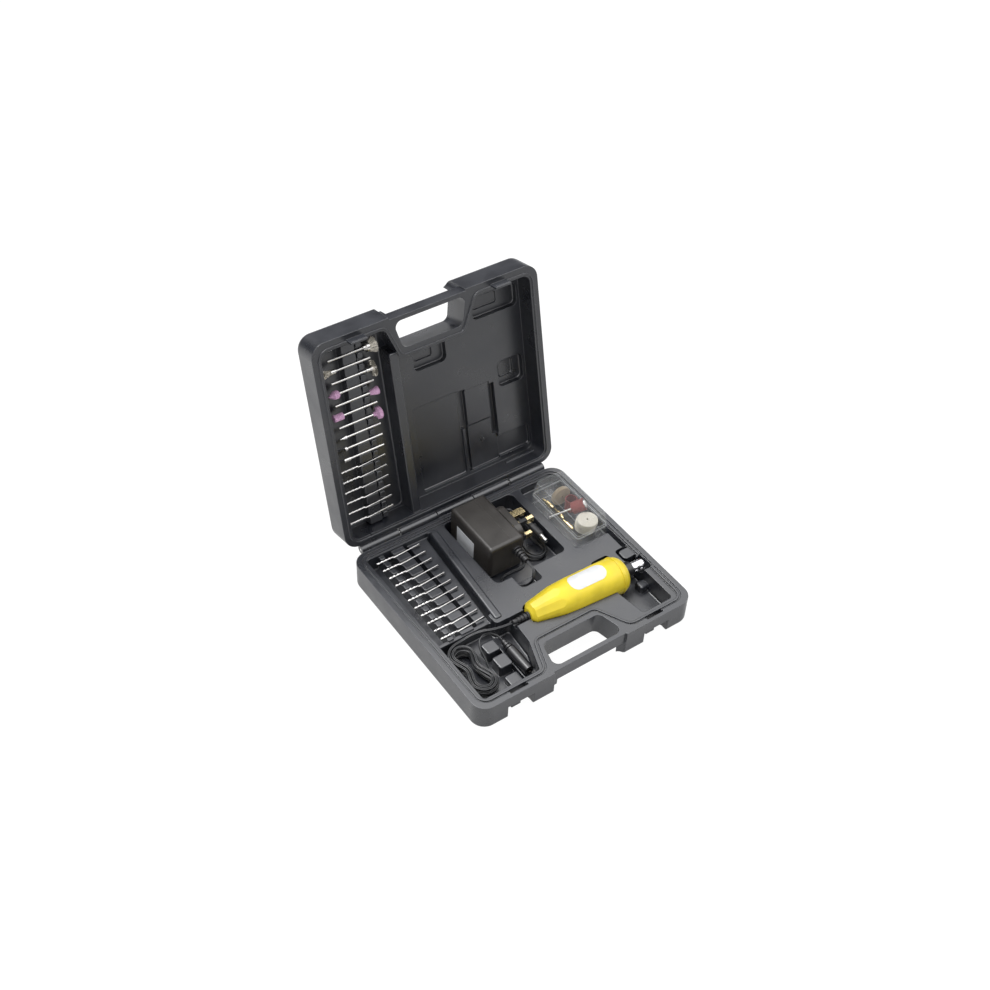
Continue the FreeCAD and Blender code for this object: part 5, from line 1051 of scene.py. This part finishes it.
@dataclass
class Studio:
    """The pale floor, the surroundings, the lamps and the camera.

    Lengths are in metres. A lamp has its name, place, size and power; the sky's low and high
    have an upward share of the view's direction and the brightness mirrored from there.
    """

    eye: Triple = (-0.582765, -0.720166, 1.046171)
    right: Triple = (0.8185, -0.5732, 0.0374)
    up: Triple = (0.3792, 0.5881, 0.7144)
    back: Triple = (-0.4316, -0.5706, 0.6987)
    lens: float = 50.54
    aim: Triple = (0.0, 0.04, 0.08)
    floor_size: float = 12.0
    floor_drop: float = 0.0002
    floor_mirrored: float = 0.62
    floor_seen: float = 0.88
    floor_glow: float = 1.1
    sky_light: float = 0.42
    sky_low: tuple[float, float] = (0.3, 0.12)
    sky_high: tuple[float, float] = (0.85, 3.0)
    lamps: tuple[tuple[str, Triple, float, float], ...] = (
        ("key", (-0.35, 0.55, 1.5), 0.9, 21.0),
        ("fill", (1.3, -0.7, 0.9), 1.1, 6.3),
        ("front", (-0.9, -1.3, 0.8), 1.0, 5.0),
    )

    def floor(self) -> None:
        bpy.ops.mesh.primitive_plane_add(size=self.floor_size,
                                         location=(0, 0, -self.floor_drop))
        plane = bpy.context.object
        plane.name = "floor"
        paint = Paint("floor")
        paint.set(Base__Color=(0.86, 0.86, 0.86, 1.0), Roughness=0.9, Specular__IOR__Level=0.1)
        rays = paint.add("ShaderNodeLightPath").outputs
        seen = paint.maths("ADD", rays["Is Camera Ray"], rays["Is Transmission Ray"], clamp=True)
        mirrored = paint.maths("MULTIPLY", rays["Is Glossy Ray"], self.floor_mirrored)
        seen = paint.maths("MAXIMUM", seen, mirrored)
        glow = paint.add("ShaderNodeEmission", {
            "Color": (1, 1, 1, 1), "Strength": self.floor_glow})
        mix = paint.add("ShaderNodeMixShader", {
            0: paint.maths("MULTIPLY", seen, self.floor_seen), 1: paint.shader.outputs[0],
            2: glow.outputs[0]})
        output = paint.tree.nodes["Material Output"]
        paint.tree.links.new(mix.outputs[0], output.inputs["Surface"])
        plane.data.materials.append(paint.material)
        plane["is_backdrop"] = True

    def world(self) -> None:
        """Makes the surroundings: white to look at, gentler as light."""
        world = bpy.data.worlds.new("surroundings")
        world.use_nodes = True
        bpy.context.scene.world = world
        wiring = Wiring(world.node_tree)
        rays = wiring.add("ShaderNodeLightPath").outputs
        seen = wiring.maths("ADD", rays["Is Camera Ray"], rays["Is Transmission Ray"], clamp=True)
        way = wiring.add("ShaderNodeTexCoord").outputs["Generated"]
        upward = wiring.add("ShaderNodeSeparateXYZ", {0: way}).outputs["Z"]
        (low, dim), (high, bright) = self.sky_low, self.sky_high
        sky = wiring.range(upward, low, high, dim, bright)
        glossy = wiring.maths("MULTIPLY", rays["Is Glossy Ray"], sky)
        diffuse = wiring.maths("MULTIPLY", rays["Is Diffuse Ray"], self.sky_light)
        strength = wiring.maths("MAXIMUM", wiring.maths("MAXIMUM", seen, glossy), diffuse)
        background = world.node_tree.nodes["Background"]
        background.inputs["Color"].default_value = (1, 1, 1, 1)
        world.node_tree.links.new(strength, background.inputs["Strength"])

    def lights(self) -> None:
        """Hangs the lamps."""
        for name, place, size, power in self.lamps:
            lamp = bpy.data.lights.new(name, "AREA")
            lamp.shape = "DISK"
            lamp.size = size
            lamp.energy = power
            holder = in_scene(name, lamp)
            holder.location = place
            way = Vector(self.aim) - Vector(place)
            holder.rotation_euler = way.to_track_quat("-Z", "Y").to_euler()

    def camera(self) -> None:
        """Sets the camera at the photograph's viewpoint."""
        lens = bpy.data.cameras.new("camera")
        lens.sensor_width = 36.0
        lens.lens = self.lens
        lens.clip_start = 0.01
        holder = in_scene("camera", lens)
        turn = Matrix((self.right, self.up, self.back)).transposed()
        holder.matrix_world = Matrix.Translation(self.eye) @ turn.to_4x4()
        bpy.context.scene.camera = holder

    def build(self) -> None:
        """Sets up the whole studio."""
        bpy.context.scene.view_settings.view_transform = "Standard"
        self.floor()
        self.world()
        self.lights()
        self.camera()


def assemblies() -> list[Assembly]:
    case = MouldedCase({
        CASE: ["case_base", "case_lid"], STEEL: ["hinge_pin", "lid_shanks", "brush_hubs"],
        STONE: ["grinding_stones"]})
    tool = RotaryTool({
        YELLOW: ["tool_housing_top", "tool_housing_bottom", "tool_nose"],
        STEEL: ["housing_screws", "motor_can", "front_bearing", "motor_shaft", "collet"],
        BLACK: ["motor_end_cap", "power_switch", "inline_socket", "switch_slider", "spindle"],
        MAGNET: ["motor_magnets", "armature_core"], BRASS: ["motor_bushes", "socket_contact"],
        LABEL: ["tool_label"], CARBON: ["carbon_brushes"], RUBBER: ["tool_strain_relief"],
        COPPER_ROUND: ["armature_windings"], COPPER_BARS: ["commutator"],
        CHROME: ["collet_nut"]})
    adapter = PowerAdapter({
        ADAPTER_SHELL: ["adapter_case", "adapter_cover"], MAGNET: ["transformer_core"],
        COPPER_FLAT: ["transformer_winding"], BOARD: ["rectifier_board"],
        PART: ["rectifier_parts"], BRASS: ["earth_pin", "line_pins"], BLACK: ["pin_sleeves"],
        PLATE: ["adapter_label"], RUBBER: ["adapter_strain_relief", "barrel_plug_body"],
        STEEL: ["barrel_plug_contact"]})
    box = ClearBox({
        CLEAR: ["accessory_tray", "accessory_lid"], BRASS: ["brass_spares"],
        RUBBER: ["drum_rubber"]})
    return [case, tool, adapter, box]


def plain(bounds: Sequence[Sequence[float]]) -> list[list[float]]:
    """Returns a box's corners as lists of numbers."""
    return [[float(value) for value in corner] for corner in bounds]


def main() -> None:
    logging.basicConfig(level=logging.INFO, format="%(name)s: %(message)s")
    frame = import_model()
    solids = plain(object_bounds())
    for assembly in assemblies():
        assembly.dress(frame["nodes"])
        assembly.build()
    Studio().build()
    bpy.context.view_layer.update()
    {"solids": solids, "dressed": plain(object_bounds())}


if __name__ == "__main__":
    main()
